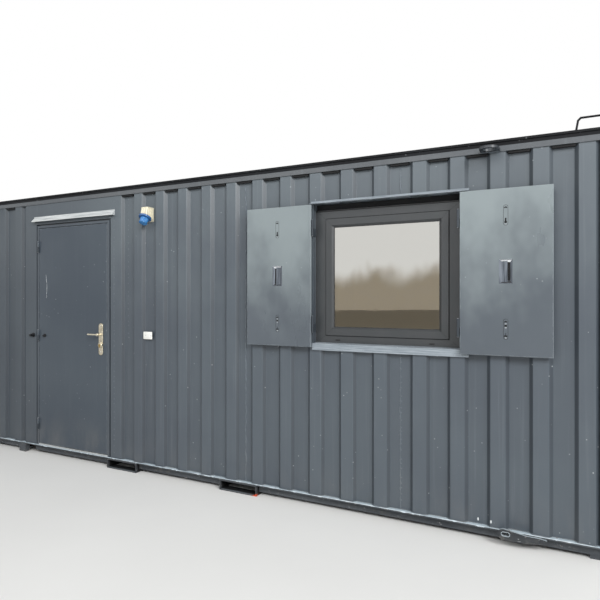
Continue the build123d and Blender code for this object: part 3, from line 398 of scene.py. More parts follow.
def ripple(length: Array, seed: int, shortest: float, longest: float, waves: int = 14) -> Array:
    """An uneven line from seeded waves.

    Formula: the mean of sine waves whose lengths are spread between the shortest and the longest, each with
    its own seeded phase, brought to about -1 to 1.

    Args:
        length: Distance of each step along the line.
        seed: Start of the random phases.
        shortest: Shortest wave in metres.
        longest: Longest wave in metres.
        waves: How many waves are added.

    Returns:
        One height for each step.
    """
    dice = np.random.default_rng(seed)
    wave = np.geomspace(shortest, longest, waves)[:, None]
    phase = dice.uniform(0, 2 * math.pi, (waves, 1))
    total = np.sin(2 * math.pi * length[None, :] / wave + phase).sum(axis=0)
    return total / math.sqrt(waves)


def distance_along(path: Array) -> Array:
    """Return the distance of each path point from the first, measured along the path."""
    step = np.linalg.norm(np.diff(path, axis=0), axis=1)
    return np.concatenate(([0.0], np.cumsum(step)))


def resampled(corners: Array, step: float) -> Array:
    """A path of even steps along straight runs.

    Formula: linear interpolation of each coordinate over the distance along the corners.

    Args:
        corners: Points where the runs meet, as corners x 3.
        step: Longest step in metres.

    Returns:
        Points as steps x 3.
    """
    corners = np.asarray(corners, dtype=float)
    reach = distance_along(corners)
    count = max(2, int(math.ceil(reach[-1] / step)) + 1)
    place = np.linspace(0.0, reach[-1], count)
    return np.stack([np.interp(place, reach, corners[:, axis]) for axis in range(3)], axis=-1)


def bead(
    corners: Array,
    radius: float,
    seed: int,
    unevenness: float,
    step: float,
    up: Triple,
    sway: Triple = (0.0, 0.0, 0.0),
) -> Skin:
    """An uneven round bead of weld or sealant along straight runs.

    Formula: a circle carried along the runs, its radius times 1 + unevenness x ripple, and its line moved by
    sway x a second ripple.

    Args:
        corners: Points where the runs meet.
        radius: Middle radius of the bead.
        seed: Start of the ripple's phases.
        unevenness: Share by which the radius changes.
        step: Distance between its rings.
        up: A direction that the bead never runs along.
        sway: How far its line wanders along each axis.

    Returns:
        The bead as one skin.
    """
    path = resampled(corners, step)
    length = distance_along(path)
    size = 1 + unevenness * ripple(length, seed, 3 * step, 40 * step)
    path = path + ripple(length, seed + 100, 8 * step, 60 * step)[:, None] * np.array(sway)
    return swept(path, round_section(radius), np.clip(size, 0.35, 2.0), up)


def stitches(start: Array, end: Array, spacing: float, seed: int) -> Array:
    """Places of weld spots along a straight line.

    Formula: even steps from the start to the end, each moved along the line by a seeded share of the spacing.

    Args:
        start: First place.
        end: Last place.
        spacing: Middle distance between spots.
        seed: Start of the random shares.

    Returns:
        Places as spots x 3.
    """
    start = np.asarray(start, dtype=float)
    line = np.asarray(end, dtype=float) - start
    reach = float(np.linalg.norm(line))
    count = max(2, int(reach / spacing))
    moved = np.random.default_rng(seed).uniform(-0.25, 0.25, count)
    share = np.clip((np.arange(count) + 0.5 + moved) / count, 0.0, 1.0)
    return start + share[:, None] * line


def mirrored(skin: Skin, across_x: bool = True, across_y: bool = True) -> Skin:
    """Repeat a skin on the other side of the cabin.

    Formula: the points times -1 on X, on Y, or on both.

    Args:
        skin: The piece at the right front.
        across_x: Whether it is repeated on the left.
        across_y: Whether it is repeated on the rear.

    Returns:
        The skin with its mirror images.
    """
    signs_x = (1.0, -1.0) if across_x else (1.0,)
    signs_y = (1.0, -1.0) if across_y else (1.0,)
    copies = [skin.turned(np.diag([sign_x, sign_y, 1.0])) for sign_x in signs_x for sign_y in signs_y]
    return Skin.joined(copies)


def pin_caps(cap: Skin, line: tuple[float, float], heights: tuple[float, ...], half: float) -> Skin:
    """Set a cap on the top and the foot of each pin of an upright hinge line.

    Args:
        cap: The cap, standing on height 0.
        line: X and Y of the line.
        heights: Heights of the pins' middles.
        half: Half the length of a pin.

    Returns:
        The caps.
    """
    x, y = line
    over = cap.at(points_at(x, y, np.array(heights) + half))
    under = cap.turned(FACE_DOWN).at(points_at(x, y, np.array(heights) - half))
    return over.plus(under)


class Extra(Enum):
    """Finishes of the added pieces, beside those of the record's slots."""

    BEAD = "bead"
    PALE_PAINT = "pale_paint"
    WORN_EDGE = "worn_edge"
    LID_BLUE = "lid_blue"
    SPATTER = "spatter"
    SEALANT = "sealant"
    LABEL = "label"
    BRIGHT_SCREW = "bright_screw"
    DARK_IRON = "dark_iron"
    CAP_RUBBER = "cap_rubber"


class FinishSheet:
    """The node sheet of one material, with short ways to lay its nodes."""

    def __init__(self, name: str) -> None:
        """Start a material of that name with its shader and its object coordinates."""
        self.material = bpy.data.materials.new(name)
        self.material.use_nodes = True
        self.tree = self.material.node_tree
        self.shader = self.tree.nodes["Principled BSDF"]
        self.place = self.node("ShaderNodeTexCoord").outputs["Object"]

    def node(self, kind: str, inputs: Inputs | None = None, **settings: object) -> bpy.types.Node:
        """Add a node.

        Args:
            kind: Type of the node.
            inputs: What each input gets, by its name or number.
            settings: The node's own options.

        Returns:
            The node.
        """
        made = self.tree.nodes.new(kind)
        for key, value in settings.items():
            setattr(made, key, value)
        for key, value in (inputs or {}).items():
            self.feed(made.inputs[key], value)
        return made

    def feed(self, socket: Socket, value: Feed) -> None:
        """Join another node's output to a socket, or set the socket's own value."""
        if isinstance(value, bpy.types.NodeSocket):
            self.tree.links.new(value, socket)
        else:
            socket.default_value = value

    def mapped(self, scale: Triple, location: Triple = (0.0, 0.0, 0.0)) -> Socket:
        """Return object coordinates, stretched by a factor on each axis and moved."""
        inputs = {"Vector": self.place, "Location": location, "Scale": scale}
        return self.node("ShaderNodeMapping", inputs).outputs["Vector"]

    def noise(
        self,
        vector: Socket,
        scale: float,
        detail: float = 4.0,
        roughness: float = 0.55,
        twist: float = 0.0,
    ) -> Socket:
        """Cloudy noise.

        Args:
            vector: Where it is read.
            scale: Clouds to a metre.
            detail: How many finer layers are added.
            roughness: Strength of the finer layers.
            twist: How far the clouds are pulled about.

        Returns:
            A value of about 0.3 to 0.7.
        """
        inputs = {"Vector": vector, "Scale": scale, "Detail": detail, "Roughness": roughness}
        inputs["Distortion"] = twist
        return self.node("ShaderNodeTexNoise", inputs).outputs["Fac"]

    def cells(self, vector: Socket, scale: float) -> Socket:
        """Return the distance from the nearest of many scattered points, at that many to a metre."""
        return self.node("ShaderNodeTexVoronoi", {"Vector": vector, "Scale": scale}).outputs["Distance"]

    def axis(self, name: str) -> Socket:
        """Return one coordinate, X, Y or Z, of the object coordinates."""
        return self.node("ShaderNodeSeparateXYZ", {"Vector": self.place}).outputs[name]

    def facing_up(self) -> Socket:
        """Return how far the surface looks up, from -1 to 1."""
        normal = self.node("ShaderNodeNewGeometry").outputs["Normal"]
        return self.node("ShaderNodeSeparateXYZ", {"Vector": normal}).outputs["Z"]

    def ramp(self, value: Socket, low: float, high: float, first: float = 0.0, last: float = 1.0) -> Socket:
        """A soft step.

        Args:
            value: What is measured.
            low: Where the step starts.
            high: Where the step ends.
            first: Result before the step.
            last: Result after it.

        Returns:
            The stepped value.
        """
        inputs = {"Value": value, "From Min": low, "From Max": high, "To Min": first, "To Max": last}
        return self.node("ShaderNodeMapRange", inputs, interpolation_type="SMOOTHSTEP").outputs["Result"]

    def work(self, operation: str, first: Feed, second: Feed) -> Socket:
        """Return one sum, product or other working of two values."""
        return self.node("ShaderNodeMath", {0: first, 1: second}, operation=operation).outputs[0]

    def product(self, first: Feed, second: Feed) -> Socket:
        """Return the product of two values."""
        return self.work("MULTIPLY", first, second)

    def size_of(self, value: Feed) -> Socket:
        """Return a value without its sign."""
        return self.work("ABSOLUTE", value, 0.0)

    def off(self, value: Socket, middle: float) -> Socket:
        """Return how far a value is from its middle."""
        return self.size_of(self.work("SUBTRACT", value, middle))

    def blend(self, share: Feed, first: Feed, second: Feed) -> Socket:
        """Return a mix of two colours, from the first at a share of 0 to the second at 1."""
        inputs = {0: share, MIX_FIRST: first, MIX_SECOND: second}
        return self.node("ShaderNodeMix", inputs, data_type="RGBA").outputs[MIX_RESULT]

    def relief(
        self,
        height: Socket,
        distance: float,
        strength: float = 1.0,
        under: Socket | None = None,
    ) -> Socket:
        """Raise the surface by a height.

        Args:
            height: Height from 0 to 1.
            distance: Metres for a height of 1.
            strength: Share of the effect.
            under: The relief that this one lies on.

        Returns:
            The normal.
        """
        inputs = {"Height": height, "Distance": distance, "Strength": strength}
        if under is not None:
            inputs["Normal"] = under
        return self.node("ShaderNodeBump", inputs).outputs["Normal"]

    def close(
        self,
        colour: Feed,
        roughness: Feed,
        normal: Socket | None = None,
        others: Inputs | None = None,
    ) -> Material:
        """Join the inputs of the shader.

        Args:
            colour: Base colour.
            roughness: Roughness of the surface.
            normal: Relief of the surface.
            others: What further inputs get, by name.

        Returns:
            The finished material.
        """
        inputs = {"Base Color": colour, "Roughness": roughness, **(others or {})}
        if normal is not None:
            inputs["Normal"] = normal
        for key, value in inputs.items():
            self.feed(self.shader.inputs[key], value)
        return self.material


@dataclass(frozen=True)
class SheetPaint:
    """Paint on steel sheet: two close tones, upright streaks that are partly paint runs and partly painted
    reflections, dust near the ground, specks, faint waves and, where asked, painted shade and sky sheen.

    Attributes:
        name: Name of the material.
        tone: Main colour.
        faded: Colour of the weathered patches.
        gloss: Middle roughness.
        shine: Strength of its mirror sheen.
        runs: Strength of the upright streaks, partly paint runs and partly painted reflection streaks.
        dust: Strength of the dust near the foot.
        dust_top: Height where the dust ends.
        specks: Strength of the pale specks.
        waves: Depth in metres of the sheet's wide waves.
        shaded: Strength of the painted shade in the recesses between the crests.
        crease_shade: Strength of the painted shade on the bends between crest and recess.
        sky_sheen: Strength of the painted sky sheen, the upper part paler as if it mirrored the sky.
        left_end_shade: Strength of the painted shade on the left end, where the light falls off.
    """

    name: str
    tone: Triple
    faded: Triple
    gloss: float = 0.42
    shine: float = 0.3
    runs: float = 0.12
    dust: float = 0.25
    dust_top: float = 0.4
    specks: float = 0.5
    waves: float = 0.003
    shaded: float = 0.0
    crease_shade: float = 0.0
    sky_sheen: float = 0.0
    left_end_shade: float = 0.0

    def shade(self, sheet: FinishSheet, colour: Socket) -> Socket:
        """Paint shade into the recesses of the profiled sheets and the bends beside them.

        Args:
            sheet: The node sheet.
            colour: The colour so far.

        Returns:
            The shaded colour.
        """
        across = sheet.size_of(sheet.axis("Y"))
        recess = sheet.ramp(across, RECESS_Y + 0.003, CREST_Y - 0.002, self.shaded, 0.0)
        colour = sheet.blend(recess, colour, linear(RECESS_SHADE))
        leaving = sheet.ramp(across, RECESS_Y + 0.0002, RECESS_Y + 0.004, 0.0, self.crease_shade)
        arriving = sheet.ramp(across, CREST_Y - 0.0055, CREST_Y - 0.0005, 1.0, 0.0)
        return sheet.blend(sheet.product(leaving, arriving), colour, linear(BEND_SHADE))

    def coloured(self, sheet: FinishSheet) -> tuple[Socket, Socket, Socket]:
        """Lay the colour nodes.

        Args:
            sheet: The node sheet.

        Returns:
            Colour, share of dust and share of specks.
        """
        clouds = sheet.ramp(sheet.noise(sheet.place, 0.9, 5.0), 0.35, 0.68)
        colour = sheet.blend(clouds, linear(self.tone), linear(self.faded))
        # Upright pale and dark streaks: partly paint runs, partly painted reflection streaks of the wavy
        # sheet
        pale_run_sheen = sheet.noise(sheet.mapped((34.0, 34.0, 0.7)), 1.0, 6.0, 0.65)
        pale_run_sheen = sheet.ramp(pale_run_sheen, 0.54, 0.78, 0.0, self.runs)
        colour = sheet.blend(pale_run_sheen, colour, linear(PALE_RUN_SHEEN))
        dark_run_shade = sheet.noise(sheet.mapped((21.0, 21.0, 0.45), (3.0, 1.0, 0.0)), 1.0, 5.0, 0.6)
        dark_run_shade = sheet.ramp(dark_run_shade, 0.56, 0.78, 0.0, self.runs)
        colour = sheet.blend(dark_run_shade, colour, linear(DARK_RUN_SHADE))
        if self.sky_sheen > 0:
            # Painted reflection: the upper part paler, standing for the sky in the sheen
            drift = sheet.noise(sheet.mapped((1.6, 1.6, 1.1)), 1.0, 4.0, 0.6)
            height = sheet.work("ADD", sheet.axis("Z"), sheet.ramp(drift, 0.3, 0.7, -0.35, 0.35))
            high = sheet.ramp(height, 1.25, 2.3, 0.0, self.sky_sheen)
            colour = sheet.blend(high, colour, linear(PAINTED_SKY_SHEEN))
        if self.left_end_shade > 0:
            # Painted shade: the left end darker, where the light falls off
            left = sheet.ramp(sheet.axis("X"), -2.4, 0.1, self.left_end_shade, 0.0)
            colour = sheet.blend(left, colour, linear(LEFT_SHADE))
        if self.shaded > 0:
            colour = self.shade(sheet, colour)
        low = sheet.ramp(sheet.axis("Z"), 0.05, self.dust_top, 1.0, 0.0)
        patchy = sheet.ramp(sheet.noise(sheet.mapped((6.0, 6.0, 2.5)), 1.0, 8.0, 0.7), 0.36, 0.7)
        dusty = sheet.product(sheet.product(low, patchy), self.dust)
        colour = sheet.blend(dusty, colour, linear(FOOT_DUST))
        spots = sheet.ramp(sheet.cells(sheet.place, 17.0), 0.035, 0.095, 1.0, 0.0)
        rare = sheet.ramp(sheet.noise(sheet.place, 2.6, 4.0, 0.7), 0.46, 0.62, 0.0, self.specks)
        flecks = sheet.product(spots, rare)
        colour = sheet.blend(flecks, colour, linear(PALE_FLECK))
        return colour, dusty, flecks

    def finished(self, sheet: FinishSheet, colour: Socket, dusty: Socket, flecks: Socket) -> Material:
        """Add gloss and relief and close the sheet.

        Args:
            sheet: The node sheet.
            colour: The colour.
            dusty: Share of dust.
            flecks: Share of specks.

        Returns:
            The material.
        """
        rough = sheet.noise(sheet.mapped((3.0, 3.0, 1.2)), 1.0, 6.0, 0.6)
        rough = sheet.ramp(rough, 0.3, 0.7, self.gloss - 0.06, self.gloss + 0.08)
        rough = sheet.work("ADD", rough, sheet.product(dusty, 0.3))
        wide = sheet.relief(sheet.noise(sheet.mapped((5.0, 5.0, 1.1)), 1.0, 2.0), self.waves)
        fine = sheet.relief(sheet.noise(sheet.place, 420.0, 2.0), 0.0002, 0.6, wide)
        normal = sheet.relief(flecks, 0.0006, 0.7, fine)
        return sheet.close(colour, rough, normal, {"Specular IOR Level": self.shine})

    def make(self) -> Material:
        """Return the material of the plain paint."""
        sheet = FinishSheet(self.name)
        return self.finished(sheet, *self.coloured(sheet))


@dataclass(frozen=True)
class EdgedPaint(SheetPaint):
    """Paint on a flat panel that is worn pale along the panel's own edges.

    Attributes:
        middle_x: Line about which the panels lie on both sides, or the middle of a single panel.
        near_x: Distance of the panel's near edge from that line.
        far_x: Distance of its far edge from that line.
        low_z: Height of its lower edge.
        high_z: Height of its upper edge.
        wear: Strength of the worn edge.
        edge_tone: Colour of the worn edge.
    """

    middle_x: float = 0.0
    near_x: float = -1.0
    far_x: float = 1.0
    low_z: float = 0.0
    high_z: float = 1.0
    wear: float = 0.7
    edge_tone: Triple = (158, 166, 171)

    def make(self) -> Material:
        """Lay the nodes of the finish.

        Returns:
            The material.
        """
        sheet = FinishSheet(self.name)
        colour, dusty, flecks = self.coloured(sheet)
        half = (self.far_x - self.near_x) / 2
        from_middle = sheet.off(sheet.off(sheet.axis("X"), self.middle_x), self.near_x + half)
        to_side = sheet.work("SUBTRACT", half, from_middle)
        rise = sheet.off(sheet.axis("Z"), (self.low_z + self.high_z) / 2)
        to_end = sheet.work("SUBTRACT", (self.high_z - self.low_z) / 2, rise)
        nearest = sheet.work("MINIMUM", to_side, to_end)
        uneven = sheet.ramp(sheet.noise(sheet.place, 26.0, 6.0, 0.7), 0.35, 0.65, 0.001, 0.006)
        close_by = sheet.work("LESS_THAN", nearest, uneven)
        worn = sheet.product(close_by, sheet.ramp(nearest, -0.002, -0.0005))
        colour = sheet.blend(sheet.product(worn, self.wear), colour, linear(self.edge_tone))
        return self.finished(sheet, colour, dusty, flecks)


@dataclass(frozen=True)
class BaseRailPaint:
    """Thick paint on the base rail: drips, chips down to rust, dirt, a painted sky sheen on its upper
    faces and, where asked, painted shade in its hollow.

    Attributes:
        name: Name of the material.
        tone: Main colour.
        faded: Colour of the weathered patches.
        sky_lit_top: Colour of the faces that look up, a painted sky sheen.
        rust_from: Where along X the rust starts and where it is full.
        rust: Strength of the rust.
        mark_at: Place along X of the red mark.
        mark: Strength of the mark.
        hollow_shade: Strength of the painted shade inside, behind the outer faces.
        inner_y: Distance from the middle of the cabin where the inside is darkest.
        outer_y: Distance where its shade ends.
    """

    name: str
    tone: Triple
    faded: Triple
    sky_lit_top: Triple
    rust_from: tuple[float, float] = (0.0, 0.0)
    rust: float = 0.0
    mark_at: float = 0.0
    mark: float = 0.0
    hollow_shade: float = 0.0
    inner_y: float = 1.188
    outer_y: float = 1.2165

    def rusted(self, sheet: FinishSheet, colour: Socket) -> Socket:
        """Lay patches of rust on the foot past the place where the rust starts.

        Args:
            sheet: The node sheet.
            colour: The colour so far.

        Returns:
            The colour with its rust.
        """
        near = sheet.ramp(sheet.axis("X"), self.rust_from[0], self.rust_from[1])
        near = sheet.product(near, sheet.ramp(sheet.axis("Z"), 0.035, 0.012))
        patch = sheet.noise(sheet.mapped((11.0, 11.0, 18.0)), 1.0, 9.0, 0.7)
        patch = sheet.ramp(patch, 0.4, 0.6, 0.0, self.rust)
        grain = sheet.ramp(sheet.noise(sheet.place, 90.0), 0.4, 0.6)
        flake = sheet.blend(grain, linear(DEEP_RUST), linear(LIGHT_RUST))
        return sheet.blend(sheet.product(near, patch), colour, flake)

    def marked(self, sheet: FinishSheet, colour: Socket) -> Socket:
        """Set the small uneven red mark on the foot of the front face.

        Args:
            sheet: The node sheet.
            colour: The colour so far.

        Returns:
            The colour with its mark.
        """
        edge = sheet.ramp(sheet.noise(sheet.place, 40.0, 4.0), 0.3, 0.7, 0.008, 0.024)
        width = sheet.work("LESS_THAN", sheet.off(sheet.axis("X"), self.mark_at), edge)
        outer = sheet.ramp(sheet.axis("Y"), -1.185, -1.195)
        low = sheet.ramp(sheet.axis("Z"), 0.022, 0.014)
        return sheet.blend(sheet.product(width, sheet.product(outer, low)), colour, linear(RED_MARK))

    def make(self) -> Material:
        """Lay the nodes of the finish.

        Returns:
            The material.
        """
        sheet = FinishSheet(self.name)
        clouds = sheet.ramp(sheet.noise(sheet.mapped((2.0, 2.0, 9.0)), 1.0, 7.0, 0.65), 0.33, 0.7)
        colour = sheet.blend(clouds, linear(self.tone), linear(self.faded))
        splash = sheet.noise(sheet.mapped((9.0, 9.0, 26.0), (0.0, 2.0, 0.0)), 1.0, 8.0, 0.72)
        colour = sheet.blend(sheet.ramp(splash, 0.52, 0.74, 0.0, 0.4), colour, linear(RAIL_SPLASH))
        # Painted highlight: faces that look up turn paler, as the sky lights them
        colour = sheet.blend(sheet.ramp(sheet.facing_up(), 0.5, 0.9), colour, linear(self.sky_lit_top))
        chip_map = sheet.noise(sheet.mapped((30.0, 30.0, 60.0)), 1.0, 5.0, 0.6)
        chips = sheet.ramp(chip_map, 0.68, 0.71)
        colour = sheet.blend(sheet.ramp(chip_map, 0.65, 0.69), colour, linear(CHIP_RIM))
        colour = sheet.blend(chips, colour, linear(CHIP_CORE))
        if self.rust > 0:
            colour = self.rusted(sheet, colour)
        if self.mark > 0:
            colour = self.marked(sheet, colour)
        if self.hollow_shade > 0:
            # Painted shade: darker inside the hollow, behind the outer faces
            depth = sheet.size_of(sheet.axis("Y"))
            inside = sheet.ramp(depth, self.inner_y, self.outer_y, self.hollow_shade, 0.0)
            colour = sheet.blend(inside, colour, linear(HOLLOW_SHADE))
        rough = sheet.ramp(sheet.noise(sheet.place, 22.0, 6.0), 0.3, 0.7, 0.42, 0.66)
        drips = sheet.relief(sheet.noise(sheet.mapped((30.0, 30.0, 8.0)), 1.0, 4.0), 0.003)
        normal = sheet.relief(chips, 0.0008, -0.8, drips)
        return sheet.close(colour, rough, normal, {"Specular IOR Level": 0.3})


@dataclass(frozen=True)
class BrushedPaint:
    """Thick hand painted strip whose brush lines run along X, their pale tone partly a painted
    highlight, with scattered painted glints.

    Attributes:
        name: Name of the material.
        tone: Main colour.
        streak: Colour of the brush lines, pale as a painted highlight.
        fine: Brush lines to a metre.
        gloss: Middle roughness.
    """

    name: str
    tone: Triple
    streak: Triple
    fine: float = 260.0
    gloss: float = 0.34

    def make(self) -> Material:
        """Lay the nodes of the finish.

        Returns:
            The material.
        """
        sheet = FinishSheet(self.name)
        lines = sheet.noise(sheet.mapped((5.0, self.fine, self.fine)), 1.0, 5.0, 0.6)
        colour = sheet.blend(sheet.ramp(lines, 0.36, 0.66), linear(self.tone), linear(self.streak))
        clouds = sheet.ramp(sheet.noise(sheet.mapped((3.0, 30.0, 30.0)), 1.0, 6.0), 0.5, 0.72, 0.0, 0.5)
        colour = sheet.blend(clouds, colour, linear(BRUSH_CLOUD))
        # Painted highlight: scattered pale glints
        specks = sheet.ramp(sheet.noise(sheet.mapped((60.0, 160.0, 160.0)), 1.0, 3.0), 0.68, 0.74, 0.0, 0.7)
        colour = sheet.blend(specks, colour, linear(PAINTED_GLINT))
        rough = sheet.ramp(lines, 0.3, 0.7, self.gloss, self.gloss + 0.2)
        return sheet.close(colour, rough, sheet.relief(lines, 0.0012))


@dataclass(frozen=True)
class BareSheet:
    """Metal sheet: spangle clouds, dull patches and a little rust.

    Attributes:
        name: Name of the material.
        tone: Colour of the bright spangle.
        dull: Colour between it.
        metallic: Share of bare metal in the surface.
        gloss: Middle roughness.
        rust: Strength of the rust patches.
        spangle: Spangles to a metre.
        soiled: Strength of the dull clouds.
    """

    name: str
    tone: Triple
    dull: Triple
    metallic: float = 0.8
    gloss: float = 0.45
    rust: float = 0.2
    spangle: float = 60.0
    soiled: float = 0.5

    def make(self) -> Material:
        """Lay the nodes of the finish.

        Returns:
            The material.
        """
        sheet = FinishSheet(self.name)
        spangle = sheet.ramp(sheet.cells(sheet.place, self.spangle), 0.1, 0.7)
        colour = sheet.blend(spangle, linear(self.tone), linear(self.dull))
        clouds = sheet.ramp(sheet.noise(sheet.place, 2.2, 8.0, 0.66), 0.4, 0.68, 0.0, self.soiled)
        colour = sheet.blend(clouds, colour, linear(SHEET_SOIL))
        patch = sheet.ramp(sheet.noise(sheet.place, 7.0, 9.0, 0.72), 0.6, 0.74, 0.0, self.rust)
        colour = sheet.blend(patch, colour, linear(SHEET_RUST))
        rough = sheet.noise(sheet.place, 12.0, 5.0)
        rough = sheet.ramp(rough, 0.3, 0.7, max(self.gloss - 0.1, 0.05), self.gloss + 0.12)
        normal = sheet.relief(sheet.noise(sheet.place, 60.0, 6.0), 0.0003)
        return sheet.close(colour, rough, normal, {"Metallic": self.metallic})


@dataclass(frozen=True)
class Timber:
    """Sawn or faced wood with grain along one axis.

    Attributes:
        name: Name of the material.
        light: Colour of the pale wood.
        dark: Colour of the grain.
        grain: Grain lines to a metre along each axis.
        gloss: Middle roughness.
    """

    name: str
    light: Triple
    dark: Triple
    grain: Triple
    gloss: float = 0.7

    def make(self) -> Material:
        """Lay the nodes of the finish.

        Returns:
            The material.
        """
        sheet = FinishSheet(self.name)
        fibres = sheet.noise(sheet.mapped(self.grain), 1.0, 8.0, 0.68, 0.4)
        colour = sheet.blend(sheet.ramp(fibres, 0.32, 0.68), linear(self.light), linear(self.dark))
        stains = sheet.ramp(sheet.noise(sheet.place, 3.0, 6.0), 0.55, 0.75, 0.0, 0.4)
        colour = sheet.blend(stains, colour, linear(WOOD_STAIN))
        rough = sheet.ramp(fibres, 0.3, 0.7, self.gloss - 0.1, self.gloss + 0.1)
        return sheet.close(colour, rough, sheet.relief(fibres, 0.0008))


@dataclass(frozen=True)
class MouldedPlastic:
    """Moulded or drawn plastic with a fine grain, a little fading and dust in its pores.

    Attributes:
        name: Name of the material.
        tone: Main colour.
        faded: Colour of the faded patches.
        gloss: Middle roughness.
        grain: Grains to a metre.
        depth: Depth of the grain in metres.
        dust: Strength of the dust.
    """

    name: str
    tone: Triple
    faded: Triple
    gloss: float = 0.35
    grain: float = 300.0
    depth: float = 0.0002
    dust: float = 0.25

    def make(self) -> Material:
        """Lay the nodes of the finish.

        Returns:
            The material.
        """
        sheet = FinishSheet(self.name)
        clouds = sheet.ramp(sheet.noise(sheet.place, 7.0, 6.0), 0.35, 0.7)
        colour = sheet.blend(clouds, linear(self.tone), linear(self.faded))
        dust = sheet.noise(sheet.mapped((40.0, 40.0, 12.0)), 1.0, 6.0, 0.7)
        dust = sheet.ramp(dust, 0.58, 0.78, 0.0, self.dust)
        colour = sheet.blend(dust, colour, linear(PORE_DUST))
        rough = sheet.noise(sheet.place, 30.0, 4.0)
        rough = sheet.ramp(rough, 0.3, 0.7, self.gloss - 0.03, self.gloss + 0.05)
        grain = sheet.noise(sheet.place, self.grain, 2.0)
        return sheet.close(colour, rough, sheet.relief(grain, self.depth))


@dataclass(frozen=True)
class CupSteel:
    """Pressed steel of the shutter cups, with a painted reflection on the slope at its top and painted
    shade on the one at its foot.

    Attributes:
        name: Name of the material.
        floor: Colour of the cup's floor.
        sheen: Colour of the upright streaks on it, painted reflection streaks.
    """

    name: str
    floor: Triple = (66, 72, 80)
    sheen: Triple = (104, 111, 120)

    def make(self) -> Material:
        """Lay the nodes of the finish.

        Returns:
            The material.
        """
        sheet = FinishSheet(self.name)
        streaks = sheet.noise(sheet.mapped((120.0, 60.0, 7.0)), 1.0, 4.0, 0.6)
        colour = sheet.blend(sheet.ramp(streaks, 0.35, 0.65), linear(self.floor), linear(self.sheen))
        upward = sheet.facing_up()
        # Painted reflection on the slope that looks down, painted shade on the one that looks up
        colour = sheet.blend(sheet.ramp(upward, -0.1, -0.35), colour, linear(CUP_TOP_REFLECTION))
        colour = sheet.blend(sheet.ramp(upward, 0.1, 0.35), colour, linear(CUP_FOOT_SHADE))
        rough = sheet.ramp(streaks, 0.3, 0.7, 0.28, 0.44)
        return sheet.close(colour, rough, sheet.relief(streaks, 0.0004), {"Metallic": 0.2})


@dataclass(frozen=True)
class PaneGlass:
    """Window glass with a painted sky reflection: pale and mirroring above a height, below it letting the dim
    room show.

    Attributes:
        name: Name of the material.
        sky: Tint of the mirroring upper part, a painted reflection of the sky.
        room: Tint of the lower part.
        clear_below: Height under which the glass is clear.
        mirror_above: Height over which it mirrors most.
    """

    name: str
    sky: Triple = (214, 213, 208)
    room: Triple = (172, 161, 140)
    clear_below: float = 1.60
    mirror_above: float = 1.76

    def make(self) -> Material:
        """Lay the nodes of the finish.

        Returns:
            The material.
        """
        sheet = FinishSheet(self.name)
        drift = sheet.noise(sheet.mapped((2.6, 2.6, 1.4)), 1.0, 3.0, 0.5)
        height = sheet.work("ADD", sheet.axis("Z"), sheet.ramp(drift, 0.3, 0.7, -0.09, 0.09))
        # Painted reflection: colour and mirror share change with height, pale sky above
        share = sheet.ramp(height, self.clear_below, self.mirror_above)
        colour = sheet.blend(share, linear(self.room), linear(self.sky))
        mirror = sheet.ramp(share, 0.0, 1.0, 0.55, 0.9)
        rough = sheet.ramp(sheet.noise(sheet.place, 14.0, 7.0, 0.7), 0.4, 0.75, 0.01, 0.05)
        normal = sheet.relief(sheet.noise(sheet.place, 1.6, 1.0), 0.0008)
        others = {"Metallic": mirror, "Transmission Weight": 1.0, "IOR": 1.45}
        return sheet.close(colour, rough, normal, others)


@dataclass(frozen=True)
class WornMetal:
    """Polished or brushed metal of the handle, plates and lock, duller where hands and weather reach it.

    Attributes:
        name: Name of the material.
        tone: Colour of the clean metal.
        dull: Colour of the dull patches.
        gloss: Middle roughness.
        brush: Brush lines to a metre along each axis.
    """

    name: str
    tone: Triple
    dull: Triple
    gloss: float = 0.24
    brush: Triple = (60.0, 60.0, 900.0)

    def make(self) -> Material:
        """Lay the nodes of the finish.

        Returns:
            The material.
        """
        sheet = FinishSheet(self.name)
        clouds = sheet.ramp(sheet.noise(sheet.place, 38.0, 7.0, 0.66), 0.38, 0.7)
        colour = sheet.blend(clouds, linear(self.tone), linear(self.dull))
        lines = sheet.noise(sheet.mapped(self.brush), 1.0, 4.0, 0.6)
        rough = sheet.ramp(lines, 0.3, 0.7, self.gloss - 0.06, self.gloss + 0.12)
        return sheet.close(colour, rough, sheet.relief(lines, 0.00006), {"Metallic": 1.0})


@dataclass(frozen=True)
class Rubber:
    """Black rubber of the buffers and seals, chalky where it has aged.

    Attributes:
        name: Name of the material.
        tone: Colour of the clean rubber.
        chalk: Colour of the chalky patches.
        gloss: Roughness of the clean rubber.
    """

    name: str
    tone: Triple = (24, 25, 27)
    chalk: Triple = (62, 63, 64)
    gloss: float = 0.3

    def make(self) -> Material:
        """Lay the nodes of the finish.

        Returns:
            The material.
        """
        sheet = FinishSheet(self.name)
        clouds = sheet.ramp(sheet.noise(sheet.place, 60.0, 6.0), 0.48, 0.78, 0.0, 0.5)
        colour = sheet.blend(clouds, linear(self.tone), linear(self.chalk))
        rough = sheet.ramp(clouds, 0.0, 1.0, self.gloss, self.gloss + 0.3)
        return sheet.close(colour, rough, sheet.relief(sheet.noise(sheet.place, 500.0, 3.0), 0.0002))


def small_paint(name: str, tone: Triple, faded: Triple, gloss: float, shine: float) -> SheetPaint:
    """The paint of a small fitting, with no runs or dust and only faint waves.

    Args:
        name: Name of the material.
        tone: Main colour.
        faded: Colour of the weathered patches.
        gloss: Middle roughness.
        shine: Strength of its mirror sheen.

    Returns:
        The paint, ready to be made.
    """
    return SheetPaint(
        name, tone, faded, gloss=gloss, shine=shine, runs=0.0, dust=0.0, dust_top=0.1, specks=0.3,
        waves=0.001,
    )


def made(looks: dict) -> dict:
    """Make every finish of a table, and return the materials under the same keys."""
    return {key: look.make() for key, look in looks.items()}


